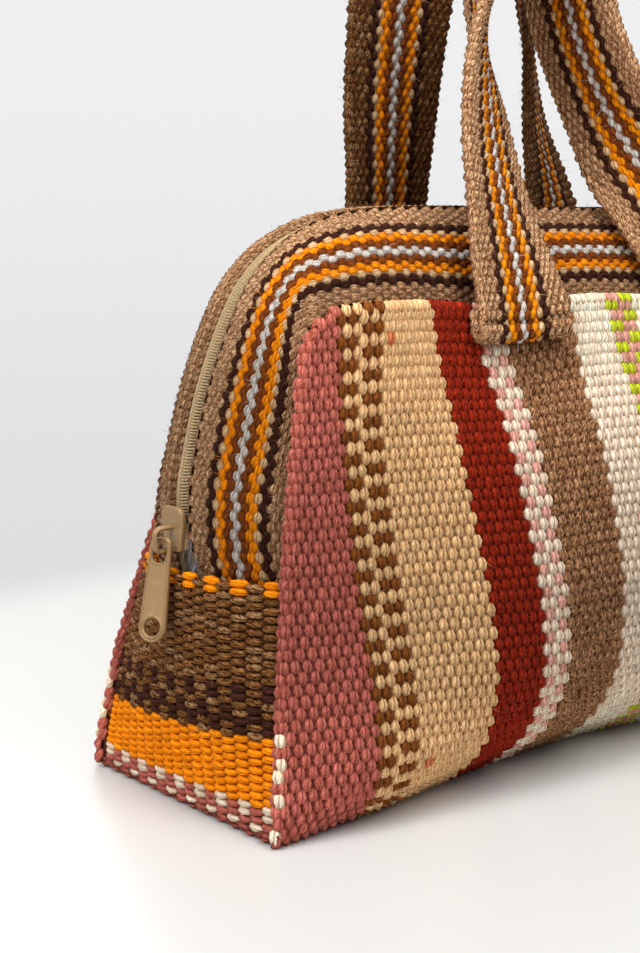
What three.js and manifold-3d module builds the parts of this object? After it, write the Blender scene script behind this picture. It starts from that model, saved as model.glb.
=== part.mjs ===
// A small wool handbag: striped cloth body, woven ends, strap bands beside a zip, and two strap handles.
// Millimetres, +Z up. The bag stands on z = 0, its length runs along X and its front faces -Y.
import * as THREE from 'three';
import { LoftGeometry } from 'three/addons/geometries/LoftGeometry.js';
import { mergeVertices } from 'three/addons/utils/BufferGeometryUtils.js';
import Module from 'manifold-3d';

const wasm = await Module();
wasm.setup();

// Cloth and gaps
const CLOTH = 3.0;
const STRAP = 3.0;
const STRAP_WIDTH = 32.5;
const TAPE = 1.0;
const GAP = 0.35;
const LAP = 0.8;
const TUCK = 1.1;

// Body: levels run down a half-section, from the rim to the middle of the base
const LEVEL = { rim: 0, hem: 7, floor: 8, keel: 9 };
const HEIGHT = [130, 110, 90, 70, 50, 35, 20, 8, 0, 0];
const HEM_GAP = 0.045;
const FRONT = -1;
const BACK = 1;
// Half the length at each level. The back is drawn in towards its rim
const HALF_LENGTH = {
  [FRONT]: [108.5, 111.5, 114.5, 117.5, 120.3, 122.6, 124.6, 126.2, 127, 127],
  [BACK]: [96.5, 101.5, 107.5, 114.5, 119, 122, 124.2, 126, 127, 127],
};
// The back leans in as well: its share of the front's depth at each level
const LEAN = {
  [FRONT]: [1, 1, 1, 1, 1, 1, 1, 1, 1, 1],
  [BACK]: [0.72, 0.75, 0.80, 0.87, 0.94, 0.98, 1, 1, 1, 1],
};
// One row per station along the length: its share of the half-length, how far the rim stands above
// its usual height, and the panel's distance from the mid plane at each level
const STATIONS = [
  { share: 1.00, rise: 0.0, depth: [31.0, 32.5, 34.0, 35.8, 38.0, 40.0, 42.0, 43.4, 43.0, 0] },
  { share: 0.90, rise: 1.0, depth: [31.8, 32.8, 35.0, 37.5, 41.0, 44.0, 46.0, 45.0, 38.0, 0] },
  { share: 0.78, rise: 1.8, depth: [31.8, 32.6, 35.0, 38.3, 43.3, 47.0, 49.0, 45.5, 34.0, 0] },
  { share: 0.66, rise: 1.8, depth: [30.0, 32.0, 35.2, 39.5, 44.5, 47.5, 48.6, 43.5, 31.0, 0] },
  { share: 0.50, rise: 0.8, depth: [26.0, 29.4, 36.3, 43.0, 48.8, 50.6, 48.2, 40.0, 26.0, 0] },
  { share: 0.33, rise: -0.5, depth: [24.4, 29.2, 38.0, 44.6, 49.8, 51.0, 47.0, 37.0, 22.0, 0] },
  { share: 0.15, rise: 1.4, depth: [26.0, 32.0, 40.6, 46.6, 50.3, 50.0, 45.0, 34.5, 19.0, 0] },
  { share: 0.00, rise: 2.0, depth: [27.0, 33.0, 41.4, 47.1, 50.3, 49.6, 44.4, 33.5, 18.0, 0] },
];

// End gussets: how far they bulge past the seams, from the floor to their top edge
const GUSSET = {
  foot: CLOTH + LAP,
  top: 62.5,
  inset: 0.8,
  fullness: 2.4,
  heights: [0, 20, 42, 64],
  bulge: [0.2, 5, 9.4, 12.6],
};

// Bands: one row per station from an end's foot to the middle of the top, with the zip's own line
// and the seam's place on the body (a negative share is the left end)
const BAND = [
  { zipX: -118.6, zipZ: 57, share: -0.930, level: 3.62 },
  { zipX: -121.6, zipZ: 66, share: -0.952, level: 3.20 },
  { zipX: -123.4, zipZ: 74, share: -0.974, level: 2.80 },
  { zipX: -123.4, zipZ: 83, share: -0.985, level: 2.35 },
  { zipX: -121.6, zipZ: 93, share: -0.985, level: 1.90 },
  { zipX: -118.4, zipZ: 106, share: -0.985, level: 1.40 },
  { zipX: -112.6, zipZ: 121, share: -0.985, level: 0.90 },
  { zipX: -104.0, zipZ: 136, share: -0.982, level: 0.42 },
  { zipX: -91.8, zipZ: 146, share: -0.950, level: 0.14 },
  { zipX: -77.0, zipZ: 151, share: -0.800, level: 0.12 },
  { zipX: -60.0, zipZ: 152.7, share: -0.600, level: 0.12 },
  { zipX: -38.0, zipZ: 153, share: -0.370, level: 0.12 },
  { zipX: 0, zipZ: 153, share: 0, level: 0.12 },
];
const BAND_PUFF = 4.2;
const BAND_LIFT = 3.3;
const ZIP_SLOT = 5.2;

// Zip: tapes, coil, slider and pull
const TAPE_REACH = 0.74;
const TAPE_SPLIT = 0.25;
const COIL = { half: 2.9, base: 0.15, height: 2.2, start: 1.2 };
const SLIDER = {
  row: 2,
  length: 11.5,
  top: 9.6,
  foot: 7.4,
  plate: 1.4,
  seat: 3.75,
  flange: { thick: 0.7, length: 6.9, drop: -1.7, bottom: 0.8 },
};
const WELD = 0.2;
const BAIL = { down: 2.6, half: 3.0, bar: 1.3, width: 1.8, clear: 4.5 };
const PULL = {
  length: 27,
  width: 7.8,
  neck: 6,
  corner: 0.8,
  thick: 1.6,
  bar: 1.3,
  eye: { wide: 4.2, long: 5.4 },
  holeRadius: 2.4,
};
const PULL_LEAN = 14;
const PULL_TWIST = 26;
const PULL_RISE = 2.6;
const PULL_SLIDE = -0.4;

// Handles: one row per station of the free strap, from the left foot to the right foot, with the
// strap's centre and the bearing of its width from +X
const FRONT_HANDLE = {
  side: FRONT,
  feet: [-34.5, 40],
  path: [
    { x: -34.5, y: -28.0, z: 138, turn: 3 },
    { x: -34.5, y: -21.0, z: 158, turn: 18 },
    { x: -31.5, y: -12.0, z: 184, turn: 30 },
    { x: -26.5, y: -4.5, z: 210, turn: 54 },
    { x: -18.0, y: -2.0, z: 229, turn: 76 },
    { x: -6.0, y: -2.0, z: 235, turn: 90 },
    { x: 4.0, y: -5.5, z: 226, turn: 95 },
    { x: 7.0, y: -7.5, z: 210, turn: 94 },
    { x: 15.0, y: -12.0, z: 188, turn: 98 },
    { x: 30.0, y: -22.5, z: 158, turn: 160 },
    { x: 39.0, y: -28.0, z: 138, turn: 175 },
  ],
};
const BACK_HANDLE = {
  side: BACK,
  feet: [-41, 33],
  path: [
    { x: -41.0, y: 22.0, z: 138, turn: 6 },
    { x: -40.0, y: 20.0, z: 158, turn: 6 },
    { x: -40.0, y: 18.5, z: 184, turn: -4 },
    { x: -38.0, y: 17.0, z: 214, turn: -14 },
    { x: -30.5, y: 17.5, z: 240, turn: -48 },
    { x: -7.0, y: 19.0, z: 256, turn: -90 },
    { x: 15.0, y: 24.0, z: 240, turn: -120 },
    { x: 21.0, y: 26.0, z: 214, turn: -132 },
    { x: 24.5, y: 26.0, z: 186, turn: -142 },
    { x: 31.0, y: 24.0, z: 158, turn: -162 },
    { x: 33.0, y: 22.0, z: 138, turn: -176 },
  ],
};
const FOOT = { bottom: 0.62, top: 0.06, spread: 1.04 };

// How finely each piece is divided
const STEPS = {
  length: 24, wall: 11, under: 10, gusset: 10, rise: 8, band: 42, across: 4, coil: 46, strap: 40,
};

const COLOURS = {
  stripes: 0xb98a68,
  base: 0x9a7256,
  gusset: 0x8a5a34,
  band: 0x8c5a34,
  tape: 0xa48b62,
  coil: 0xb49f78,
  metal: 0xa5875c,
};

// Cubic through points that never overshoots them
function spline(knots, values, at) {
  const last = knots.length - 1;
  let i = 0;
  while (i < last - 1 && at > knots[i + 1]) i += 1;
  const slope = (k) => (values[k + 1] - values[k]) / (knots[k + 1] - knots[k]);
  const tangent = (k) => {
    if (k === 0) return slope(0);
    if (k === last) return slope(last - 1);
    const [a, b] = [slope(k - 1), slope(k)];
    return a * b <= 0 ? 0 : (2 * a * b) / (a + b);
  };
  const span = knots[i + 1] - knots[i];
  const t = (at - knots[i]) / span;
  const rise = values[i + 1] - values[i];
  const [m0, m1] = [tangent(i) * span, tangent(i + 1) * span];
  return values[i] + t * (m0 + t * (3 * rise - 2 * m0 - m1 + t * (m0 + m1 - 2 * rise)));
}

const range = (count) => Array.from({ length: count + 1 }, (_, i) => i / count);
const mirrored = (rows, flip) => [...rows, ...rows.slice(0, -1).reverse().map(flip)];
const vector = (x, y, z) => new THREE.Vector3(x, y, z);
const indexOf = (rows) => rows.map((_, i) => i);

// Normal of a surface p(u, v) by small steps, turned to point away from the bag's middle
const MIDDLE = vector(0, 0, 70);
const STEP = 1e-3;
const REACH = 0.05;
function normalOf(surface, u, v) {
  const du = surface(u + STEP, v).sub(surface(u - STEP, v));
  const dv = surface(u, v + STEP).sub(surface(u, v - STEP));
  const normal = du.cross(dv).normalize();
  return normal.dot(surface(u, v).sub(MIDDLE)) < 0 ? normal.negate() : normal;
}

// Body surface of one side, drawn as if it were the front
const swapped = (row) => ({ ...row, share: -row.share });
const stations = mirrored(STATIONS.map(swapped), swapped);
const shares = stations.map((row) => row.share);
const levels = indexOf(HEIGHT);
const halfLength = (level, side) => spline(levels, HALF_LENGTH[side], level);

const bodySurface = (side) => (share, level) => {
  const depthAt = (k) => spline(shares, stations.map((row) => row.depth[k]), share);
  const depths = levels.map((k) => LEAN[side][k] * depthAt(k));
  const rise = spline(shares, stations.map((row) => row.rise), share);
  const heights = HEIGHT.map((height, k) => (k === LEVEL.rim ? height + rise : height));
  const x = share * halfLength(level, side);
  return vector(x, -spline(levels, depths, level), spline(levels, heights, level));
};
const BODY = { [FRONT]: bodySurface(FRONT), [BACK]: bodySurface(BACK) };
const onSide = (point, side) => vector(point.x, -side * point.y, point.z);

// A point at a distance outside (or, if negative, inside) the body's outer face
function bodyOffset(share, level, distance, side) {
  return BODY[side](share, level).addScaledVector(normalOf(BODY[side], share, level), distance);
}

function levelAt(height) {
  let [low, high] = [LEVEL.rim, LEVEL.floor];
  while (high - low > 1e-4) {
    const middle = (low + high) / 2;
    if (spline(levels, HEIGHT, middle) > height) low = middle;
    else high = middle;
  }
  return low;
}

// Closed wall lofted through sections, each an outer row of points and the matching inner row
function wall(outers, inners) {
  const sections = outers.map((outer, i) => [...outer, ...[...inners[i]].reverse()]);
  const [first, next] = sections;
  const across = first[1].clone().sub(first[0]);
  const along = next[0].clone().sub(first[0]);
  const out = first[0].clone().sub(first[first.length - 1]);
  const inverted = across.cross(along).dot(out) < 0;
  const loops = inverted ? sections.map((loop) => [...loop].reverse()) : sections;
  return new LoftGeometry(loops, { capStart: true, capEnd: true });
}

// Wall from a function of two shares and a depth below the outer face
function sheet(surface, us, vs, thickness) {
  const grid = (depth) => us.map((u) => vs.map((v) => surface(u, v, depth)));
  return wall(grid(0), grid(thickness));
}

function welded(geometry) {
  const plain = new THREE.BufferGeometry().copy(geometry);
  plain.deleteAttribute('normal');
  plain.deleteAttribute('uv');
  const merged = mergeVertices(plain, 1e-4);
  merged.computeVertexNormals();
  return merged;
}

function manifoldOf(geometry) {
  const merged = welded(geometry);
  return new wasm.Manifold(new wasm.Mesh({
    numProp: 3,
    vertProperties: new Float32Array(merged.attributes.position.array),
    triVerts: new Uint32Array(merged.index.array),
  }));
}

function fused(geometries) {
  const { vertProperties, triVerts } = geometries.map(manifoldOf).reduce((a, b) => a.add(b)).getMesh();
  const geometry = new THREE.BufferGeometry();
  geometry.setAttribute('position', new THREE.BufferAttribute(vertProperties, 3));
  geometry.setIndex(new THREE.BufferAttribute(triVerts, 1));
  return geometry;
}

function piece(name, geometry, color, roughness = 0.95, metalness = 0) {
  const material = new THREE.MeshStandardMaterial({ color, roughness, metalness });
  const mesh = new THREE.Mesh(welded(geometry), material);
  mesh.name = name;
  return mesh;
}

// Striped cloth
const lengthwise = range(STEPS.length).map((t) => 2 * t - 1);

function panel(side) {
  const down = range(STEPS.wall).map((t) => t * (LEVEL.hem - HEM_GAP));
  const surface = (share, level, depth) => onSide(bodyOffset(share, level, -depth, side), side);
  return sheet(surface, lengthwise, down, CLOTH);
}

function basePanel() {
  const start = LEVEL.hem + HEM_GAP;
  const round = range(STEPS.under).map((t) => 2 * t - 1);
  const under = (share, turn, depth) => {
    const level = LEVEL.keel - Math.abs(turn) * (LEVEL.keel - start);
    const side = turn < 0 ? FRONT : BACK;
    return onSide(bodyOffset(share, Math.min(level, LEVEL.keel - 2 * STEP), -depth, side), side);
  };
  return sheet(under, lengthwise, round, CLOTH);
}

// End gussets stand on the base between the panels
function gusset(end) {
  const surface = (across, rise) => {
    const height = THREE.MathUtils.lerp(GUSSET.foot, GUSSET.top, rise);
    const level = levelAt(height);
    const half = -BODY[across < 0 ? FRONT : BACK](1, level).y - CLOTH - GAP;
    const bulge = spline(GUSSET.heights, GUSSET.bulge, height) * (1 - Math.abs(across) ** GUSSET.fullness);
    const edge = THREE.MathUtils.lerp(halfLength(level, FRONT), halfLength(level, BACK), (across + 1) / 2);
    return vector(end * (edge - GUSSET.inset + bulge), across * half, height);
  };
  const inner = (across, rise, depth) => {
    const point = surface(across, rise);
    point.x -= end * depth;
    return point;
  };
  return sheet(inner, range(STEPS.gusset).map((t) => 2 * t - 1), range(STEPS.rise), CLOTH);
}

// Zip line and bands
const bandRows = mirrored(BAND, (row) => ({ ...row, zipX: -row.zipX, share: -row.share }));
const bandIndex = indexOf(bandRows);
const bandEnd = bandRows.length - 1;
const bandValue = (key, at) => spline(bandIndex, bandRows.map((row) => row[key]), at);
const alongBand = range(STEPS.band).map((t) => t * bandEnd);

const zipPoint = (at) => vector(bandValue('zipX', at), 0, bandValue('zipZ', at));

function zipOutward(at) {
  const along = zipPoint(Math.min(at + REACH, bandEnd)).sub(zipPoint(Math.max(at - REACH, 0)));
  return vector(-along.z, 0, along.x).normalize();
}

const bandSurface = (side) => (at, across) => {
  const seam = bodyOffset(bandValue('share', at), bandValue('level', at), -CLOTH - TUCK, side);
  const edge = zipPoint(at).addScaledVector(zipOutward(at), BAND_LIFT).add(vector(0, -ZIP_SLOT, 0));
  const chord = edge.clone().sub(seam);
  const along = zipOutward(at).cross(vector(0, 1, 0));
  const puff = chord.clone().cross(along).normalize();
  if (puff.y > 0) puff.negate();
  return seam.addScaledVector(chord, across).addScaledVector(puff, BAND_PUFF * 4 * across * (1 - across));
};
const BANDS = { [FRONT]: bandSurface(FRONT), [BACK]: bandSurface(BACK) };

function bandOffset(at, across, depth, side) {
  const inside = THREE.MathUtils.clamp(at, STEP, bandEnd - STEP);
  const point = BANDS[side](at, across).addScaledVector(normalOf(BANDS[side], inside, across), -depth);
  return onSide(point, side);
}

const band = (side) => sheet((at, across, depth) => bandOffset(at, across, depth, side),
  alongBand, range(STEPS.across), STRAP);

function tape(side) {
  const surface = (at, across, depth) => {
    const outward = zipOutward(at);
    const middle = zipPoint(at).addScaledVector(outward, -GAP - depth).add(vector(0, side * TAPE_SPLIT, 0));
    const edge = bandOffset(at, TAPE_REACH, STRAP + LAP + depth, side);
    return middle.lerp(edge, across);
  };
  return sheet(surface, alongBand, range(2), TAPE);
}

function coil() {
  const half = [{ wide: 1, high: 0.6 }, { wide: 0.55, high: 1 }];
  const section = [...half, ...[...half].reverse().map(({ wide, high }) => ({ wide: -wide, high }))];
  const stops = range(STEPS.coil).map((t) => COIL.start + t * (bandEnd - 2 * COIL.start));
  const row = (at, share) => section.map(({ wide, high }) => zipPoint(at)
    .addScaledVector(zipOutward(at), COIL.base + share * high * COIL.height)
    .add(vector(0, wide * COIL.half, 0)));
  return wall(stops.map((at) => row(at, 1)), stops.map((at) => row(at, 0)));
}

// Slider in its own frame: x across the zip, y up along it, z out of the bag
const block = (wide, long, high, x, y, z) => new THREE.BoxGeometry(wide, long, high).translate(x, y, z);

function sliderOutline() {
  const { length, top, foot } = SLIDER;
  const outline = new THREE.Shape();
  outline.moveTo(-foot / 2, -length / 2);
  outline.lineTo(foot / 2, -length / 2);
  outline.quadraticCurveTo(top / 2, -length / 6, top / 2, length / 4);
  outline.quadraticCurveTo(top / 2, length / 2, 0, length / 2);
  outline.quadraticCurveTo(-top / 2, length / 2, -top / 2, length / 4);
  outline.quadraticCurveTo(-top / 2, -length / 6, -foot / 2, -length / 2);
  return outline;
}

function slider() {
  const { plate, seat, flange } = SLIDER;
  const extrusion = { depth: plate, bevelEnabled: false, curveSegments: 4 };
  const cover = new THREE.ExtrudeGeometry(sliderOutline(), extrusion).translate(0, 0, seat);
  const flangeTop = seat + WELD;
  const flanges = [-1, 1].map((side) => block(flange.thick, flange.length, flangeTop - flange.bottom,
    side * (COIL.half + GAP + flange.thick / 2), flange.drop, (flangeTop + flange.bottom) / 2));
  const legFoot = seat + plate - WELD;
  const legTop = seat + plate + BAIL.clear + BAIL.bar;
  const legs = [-1, 1].map((side) => block(BAIL.width, BAIL.bar, legTop - legFoot,
    0, side * BAIL.half - BAIL.down, (legTop + legFoot) / 2));
  const bridge = block(BAIL.width, 2 * BAIL.half + BAIL.bar, BAIL.bar, 0, -BAIL.down, legTop - BAIL.bar / 2);
  return fused([cover, ...flanges, ...legs, bridge]);
}

// Pull in its own frame: the hinge at the origin along x, hanging down -y
function pull() {
  const { length, width, neck, corner, thick, bar, eye, holeRadius } = PULL;
  const top = bar / 2;
  const ringY = top - length + width / 2;
  const outline = new THREE.Shape();
  outline.moveTo(-neck / 2, top - corner);
  outline.lineTo(-width / 2, ringY);
  outline.absarc(0, ringY, width / 2, Math.PI, 2 * Math.PI, false);
  outline.lineTo(neck / 2, top - corner);
  outline.quadraticCurveTo(neck / 2, top, neck / 2 - corner, top);
  outline.lineTo(-neck / 2 + corner, top);
  outline.quadraticCurveTo(-neck / 2, top, -neck / 2, top - corner);
  const slot = new THREE.Path();
  const slotY = -bar / 2 - eye.long + eye.wide / 2;
  slot.moveTo(-eye.wide / 2, -bar / 2);
  slot.lineTo(-eye.wide / 2, slotY);
  slot.absarc(0, slotY, eye.wide / 2, Math.PI, 2 * Math.PI, false);
  slot.lineTo(eye.wide / 2, -bar / 2);
  const hole = new THREE.Path();
  hole.absarc(0, ringY, holeRadius, 0, 2 * Math.PI, true);
  outline.holes.push(slot, hole);
  return new THREE.ExtrudeGeometry(outline, { depth: thick, bevelEnabled: false, curveSegments: 10 })
    .translate(0, 0, -thick / 2);
}

// Handles: feet follow the panel, the free strap follows its table
function handle({ side, feet, path }) {
  const index = indexOf(path);
  const value = (key, at) => spline(index, path.map((row) => row[key]), at);
  const centre = (at) => vector(value('x', at), value('y', at), value('z', at));
  const halves = range(STEPS.across).map((t) => 2 * t - 1);

  const footRow = (x, level, offset) => halves.map((half) => {
    const share = (x + half * FOOT.spread * STRAP_WIDTH / 2) / halfLength(level, side);
    return onSide(bodyOffset(share, level, offset, side), side);
  });
  const footRows = (x, offset) => [FOOT.bottom, (FOOT.bottom + FOOT.top) / 2, FOOT.top]
    .map((level) => footRow(x, level, offset));

  const freeRow = (at, offset) => {
    const before = centre(Math.max(at - REACH, 0));
    const along = centre(Math.min(at + REACH, path.length - 1)).sub(before).normalize();
    const bearing = THREE.MathUtils.degToRad(value('turn', at));
    const wide = vector(Math.cos(bearing), Math.sin(bearing), 0);
    wide.addScaledVector(along, -wide.dot(along)).normalize();
    const out = wide.clone().cross(along).multiplyScalar(-side * offset);
    return halves.map((half) => centre(at).add(out).addScaledVector(wide, half * STRAP_WIDTH / 2));
  };
  const stops = range(STEPS.strap).map((t) => t * (path.length - 1));

  const reversed = (rows) => [...rows].reverse().map((row) => [...row].reverse());
  const face = (foot, free) => [
    ...footRows(feet[0], foot),
    ...stops.map((at) => freeRow(at, free)),
    ...reversed(footRows(feet[1], foot)),
  ];
  return wall(face(LAP + 2 * STRAP, STRAP / 2), face(LAP, -STRAP / 2));
}

const bag = new THREE.Group();
bag.add(piece('front_panel', panel(FRONT), COLOURS.stripes));
bag.add(piece('back_panel', panel(BACK), COLOURS.stripes));
bag.add(piece('base_panel', basePanel(), COLOURS.base));
bag.add(piece('left_gusset', gusset(-1), COLOURS.gusset));
bag.add(piece('right_gusset', gusset(1), COLOURS.gusset));
bag.add(piece('front_band', band(FRONT), COLOURS.band));
bag.add(piece('back_band', band(BACK), COLOURS.band));
bag.add(piece('front_tape', tape(FRONT), COLOURS.tape));
bag.add(piece('back_tape', tape(BACK), COLOURS.tape));
bag.add(piece('zip_coil', coil(), COLOURS.coil, 0.5));
bag.add(piece('front_handle', handle(FRONT_HANDLE), COLOURS.band));
bag.add(piece('back_handle', handle(BACK_HANDLE), COLOURS.band));

// The slider's frame sits on the zip line at the left end and faces out of the bag
const fastening = new THREE.Group();
fastening.position.copy(zipPoint(SLIDER.row));
const outward = zipOutward(SLIDER.row);
const across = vector(0, -1, 0);
fastening.quaternion.setFromRotationMatrix(
  new THREE.Matrix4().makeBasis(across, outward.clone().cross(across), outward));
fastening.add(piece('zip_slider', slider(), COLOURS.metal, 0.4, 0.6));
const hanging = new THREE.Group();
hanging.position.set(0, -BAIL.down, SLIDER.seat + SLIDER.plate + PULL_RISE);
hanging.rotation.set(
  THREE.MathUtils.degToRad(-PULL_LEAN), THREE.MathUtils.degToRad(PULL_TWIST), 0, 'YXZ');
const tab = piece('zip_pull', pull(), COLOURS.metal, 0.4, 0.6);
tab.position.x = PULL_SLIDE;
hanging.add(tab);
fastening.add(hanging);
bag.add(fastening);

export default bag;
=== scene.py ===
"""Dresses a small handwoven wool handbag in its yarn, zip and metal, in a plain pale studio.

Sizes are millimetres in the bag's own frame. It stands on z = 0, its length runs along X and its front
faces -Y. Meshes are written in metres.
"""

import logging
import math
from dataclasses import dataclass, field
from enum import Enum
from typing import Protocol, Sequence

import bmesh
import bpy
import numpy as np
from bpy.types import ID, Material, Mesh, Node, NodeSocket, NodeTree, Object
from mathutils import Matrix, Vector


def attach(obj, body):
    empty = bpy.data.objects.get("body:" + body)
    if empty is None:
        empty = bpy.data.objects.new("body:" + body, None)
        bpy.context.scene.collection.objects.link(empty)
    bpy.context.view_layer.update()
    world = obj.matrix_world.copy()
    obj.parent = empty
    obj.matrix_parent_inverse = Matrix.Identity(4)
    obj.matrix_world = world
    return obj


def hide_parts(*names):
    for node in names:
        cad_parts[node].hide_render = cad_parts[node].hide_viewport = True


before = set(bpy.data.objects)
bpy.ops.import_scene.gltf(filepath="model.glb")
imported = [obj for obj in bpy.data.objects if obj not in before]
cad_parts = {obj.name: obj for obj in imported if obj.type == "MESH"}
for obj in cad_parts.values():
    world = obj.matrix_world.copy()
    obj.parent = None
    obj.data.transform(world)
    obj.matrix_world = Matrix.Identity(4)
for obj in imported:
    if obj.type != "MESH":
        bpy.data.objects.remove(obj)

LOG = logging.getLogger("handbag")
Array = np.ndarray
Colour = tuple[int, int, int]
Pair = tuple[float, float]
Triple = tuple[float, float, float]
Quad = tuple[float, float, float, float]
Numbers = tuple[float, ...]

MM = 0.001
SEED = 41
FRONT = -1.0
BACK = 1.0
BAG = "bag"
PULL = "pull"
YARN_ATTRIBUTE = "yarn"
LOT_ATTRIBUTE = "lot"
FLOAT_UV = "float_uv"
FLOAT_TURN = 0.07

# Cloth thicknesses and gaps, as in the part's source
CLOTH = 3.0
STRAP = 3.0
STRAP_WIDTH = 32.5
GAP = 0.35
LAP = 0.8
TUCK = 1.1

# Place of the slider along the zip, in the zip line's own steps
SLIDER_PLACE = 2.0


def unit(vectors: Array) -> Array:
    """Scales vectors, on the last axis, to length one."""
    return vectors / np.maximum(np.linalg.norm(vectors, axis=-1, keepdims=True), 1e-12)


def linear(colour: Sequence[float]) -> Triple:
    """Turns a colour as seen on a screen, 0 to 255, into linear light."""
    share = np.array(colour, float) / 255
    light = np.where(share <= 0.04045, share / 12.92, ((share + 0.055) / 1.055) ** 2.4)
    return tuple(float(value) for value in light)


def spline(knots: Sequence[float], values: Array, at: Array) -> Array:
    """Runs a cubic that never overshoots through points.

    Args:
        knots: Rising places of the points.
        values: One value for each knot, or a row of them for each place in at.
        at: Places to read.

    Returns:
        The value at each place.
    """
    knots, at = np.asarray(knots, float), np.asarray(at, float)
    values = np.broadcast_to(np.asarray(values, float), at.shape + knots.shape)
    cell = np.clip(np.searchsorted(knots, at) - 1, 0, len(knots) - 2)
    slopes = np.diff(values, axis=-1) / np.diff(knots)
    before, after = slopes[..., :-1], slopes[..., 1:]
    turning = before * after <= 0
    middle = np.where(turning, 0, 2 * before * after / np.where(turning, 1, before + after))
    tangents = np.concatenate([slopes[..., :1], middle, slopes[..., -1:]], axis=-1)

    def pick(table: Array, index: Array) -> Array:
        """Reads one column of a row for each place."""
        return np.take_along_axis(table, index[..., None], axis=-1)[..., 0]

    span = knots[cell + 1] - knots[cell]
    t = (at - knots[cell]) / span
    start, rise = pick(values, cell), pick(values, cell + 1) - pick(values, cell)
    m0, m1 = pick(tangents, cell) * span, pick(tangents, cell + 1) * span
    return start + t * (m0 + t * (3 * rise - 2 * m0 - m1 + t * (m0 + m1 - 2 * rise)))


def smoothstep(low: float, high: float, at: Array) -> Array:
    """Rises smoothly from 0 at low to 1 at high."""
    t = np.clip((at - low) / (high - low), 0, 1)
    return t * t * (3 - 2 * t)


def run_lengths(points: Array) -> Array:
    """Gives how far along its line each point lies, for one line or a row of lines."""
    steps = np.linalg.norm(np.diff(points, axis=-2), axis=-1)
    return np.concatenate([np.zeros((*steps.shape[:-1], 1)), np.cumsum(steps, axis=-1)], axis=-1)


def middles(count: int, length: Array, at: Array) -> Array:
    """Reads places on a line at the middles of equal steps, from its points' lengths and places."""
    return np.interp((np.arange(count) + 0.5) / count * length[-1], length, at)


def fold(place: Array, out: Array, normal: Array, past: Array, radius: float) -> Array:
    """Rolls what lies past a cloth's edge round a fold, from its places, ways out and normals there."""
    turn = np.clip(past / radius, 0, math.pi)[..., None]
    return place + out * radius * np.sin(turn) - normal * radius * (1 - np.cos(turn))


# Yarns


@dataclass(frozen=True)
class YarnFinish:
    """Colour of a yarn, how mottled its fibres are, and a tint that a few of its floats take."""

    colour: Colour
    heather: float = 0.18
    stray: Colour | None = None
    chance: float = 0.0


class Yarn(Enum):
    """The yarns that the bag is woven from."""

    PINK = YarnFinish((178, 98, 86), 0.3)
    TAN = YarnFinish((220, 180, 131), 0.22, (198, 112, 76), 0.005)
    BARK = YarnFinish((122, 70, 28), 0.35)
    RUST = YarnFinish((137, 36, 14), 0.5)
    WHITE = YarnFinish((234, 217, 196), 0.14, (226, 182, 162), 0.01)
    BLUSH = YarnFinish((222, 166, 154), 0.3)
    HEATHER = YarnFinish((151, 110, 77), 0.8)
    LIME = YarnFinish((182, 196, 44), 0.15)
    ROSE = YarnFinish((206, 150, 138), 0.25)
    ORANGE = YarnFinish((250, 146, 14), 0.22)
    DARK = YarnFinish((66, 36, 26), 0.5)
    CREAM = YarnFinish((216, 180, 136), 0.25)
    FOX = YarnFinish((128, 66, 24), 0.4)
    GREY = YarnFinish((212, 206, 200), 0.2)
    OAT = YarnFinish((184, 142, 104), 0.8)
    UMBER = YarnFinish((119, 78, 42), 1.0, (140, 102, 66), 0.35)


def check(first: Yarn, second: Yarn) -> list[Yarn]:
    """Charts two columns of checks, each of two floats, in opposite phase."""
    return [first, second] * 2 + [second, first] * 2


def body_chart() -> list[Yarn]:
    """Charts the striped cloth's warps from its left end, mirrored about its middle stripe."""
    half = (
        [Yarn.PINK] * 22
        + check(Yarn.BARK, Yarn.TAN)
        + [Yarn.TAN] * 17
        + [Yarn.RUST] * 11
        + [Yarn.WHITE, Yarn.BLUSH, Yarn.WHITE] * 2
        + [Yarn.HEATHER] * 14
        + [Yarn.WHITE] * 12
    )
    return half + check(Yarn.LIME, Yarn.ROSE) + half[::-1]


def strap_chart(edge: int, border: Yarn = Yarn.OAT) -> list[Yarn]:
    """Charts a strap's warps across one face, with a border of one yarn at each edge."""
    half = [border] * edge + [Yarn.DARK] * 2 + [Yarn.CREAM] + [Yarn.ORANGE] * 2 + [Yarn.FOX] * 2
    return half + [Yarn.GREY] * 2 + half[::-1]


def gusset_chart() -> list[Yarn]:
    """Charts an end gusset's warps from its top edge down to the floor."""
    checks = check(Yarn.DARK, Yarn.UMBER) + [Yarn.DARK, Yarn.UMBER] * 2
    foot = [Yarn.WHITE, Yarn.PINK] * 2 + [Yarn.PINK, Yarn.WHITE, Yarn.PINK]
    return [Yarn.ORANGE, Yarn.UMBER] * 2 + [Yarn.UMBER] * 20 + checks + [Yarn.ORANGE] * 16 + foot


@dataclass(frozen=True)
class Gauge:
    """Weave of one cloth: the spacing of its warps and picks, a float's size and how deep it lies."""

    warp: float
    pick: float
    length: float
    width: float
    height: float
    sink: float


BODY_GAUGE = Gauge(warp=1.55, pick=3.05, length=4.6, width=3.1, height=1.9, sink=1.2)
GUSSET_GAUGE = Gauge(warp=1.06, pick=4.5, length=6.1, width=2.55, height=2.1, sink=1.1)
STRAP_GAUGE = Gauge(warp=1.15, pick=2.3, length=3.5, width=2.45, height=1.5, sink=0.95)


# Faces that cloth lies on


class Face(Protocol):
    """A surface read by a place across the warps and a place along them."""

    turn: float
    step: Pair

    def points(self, across: Array, along: Array) -> Array:
        """Gives the points at places across and along."""
        ...


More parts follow.
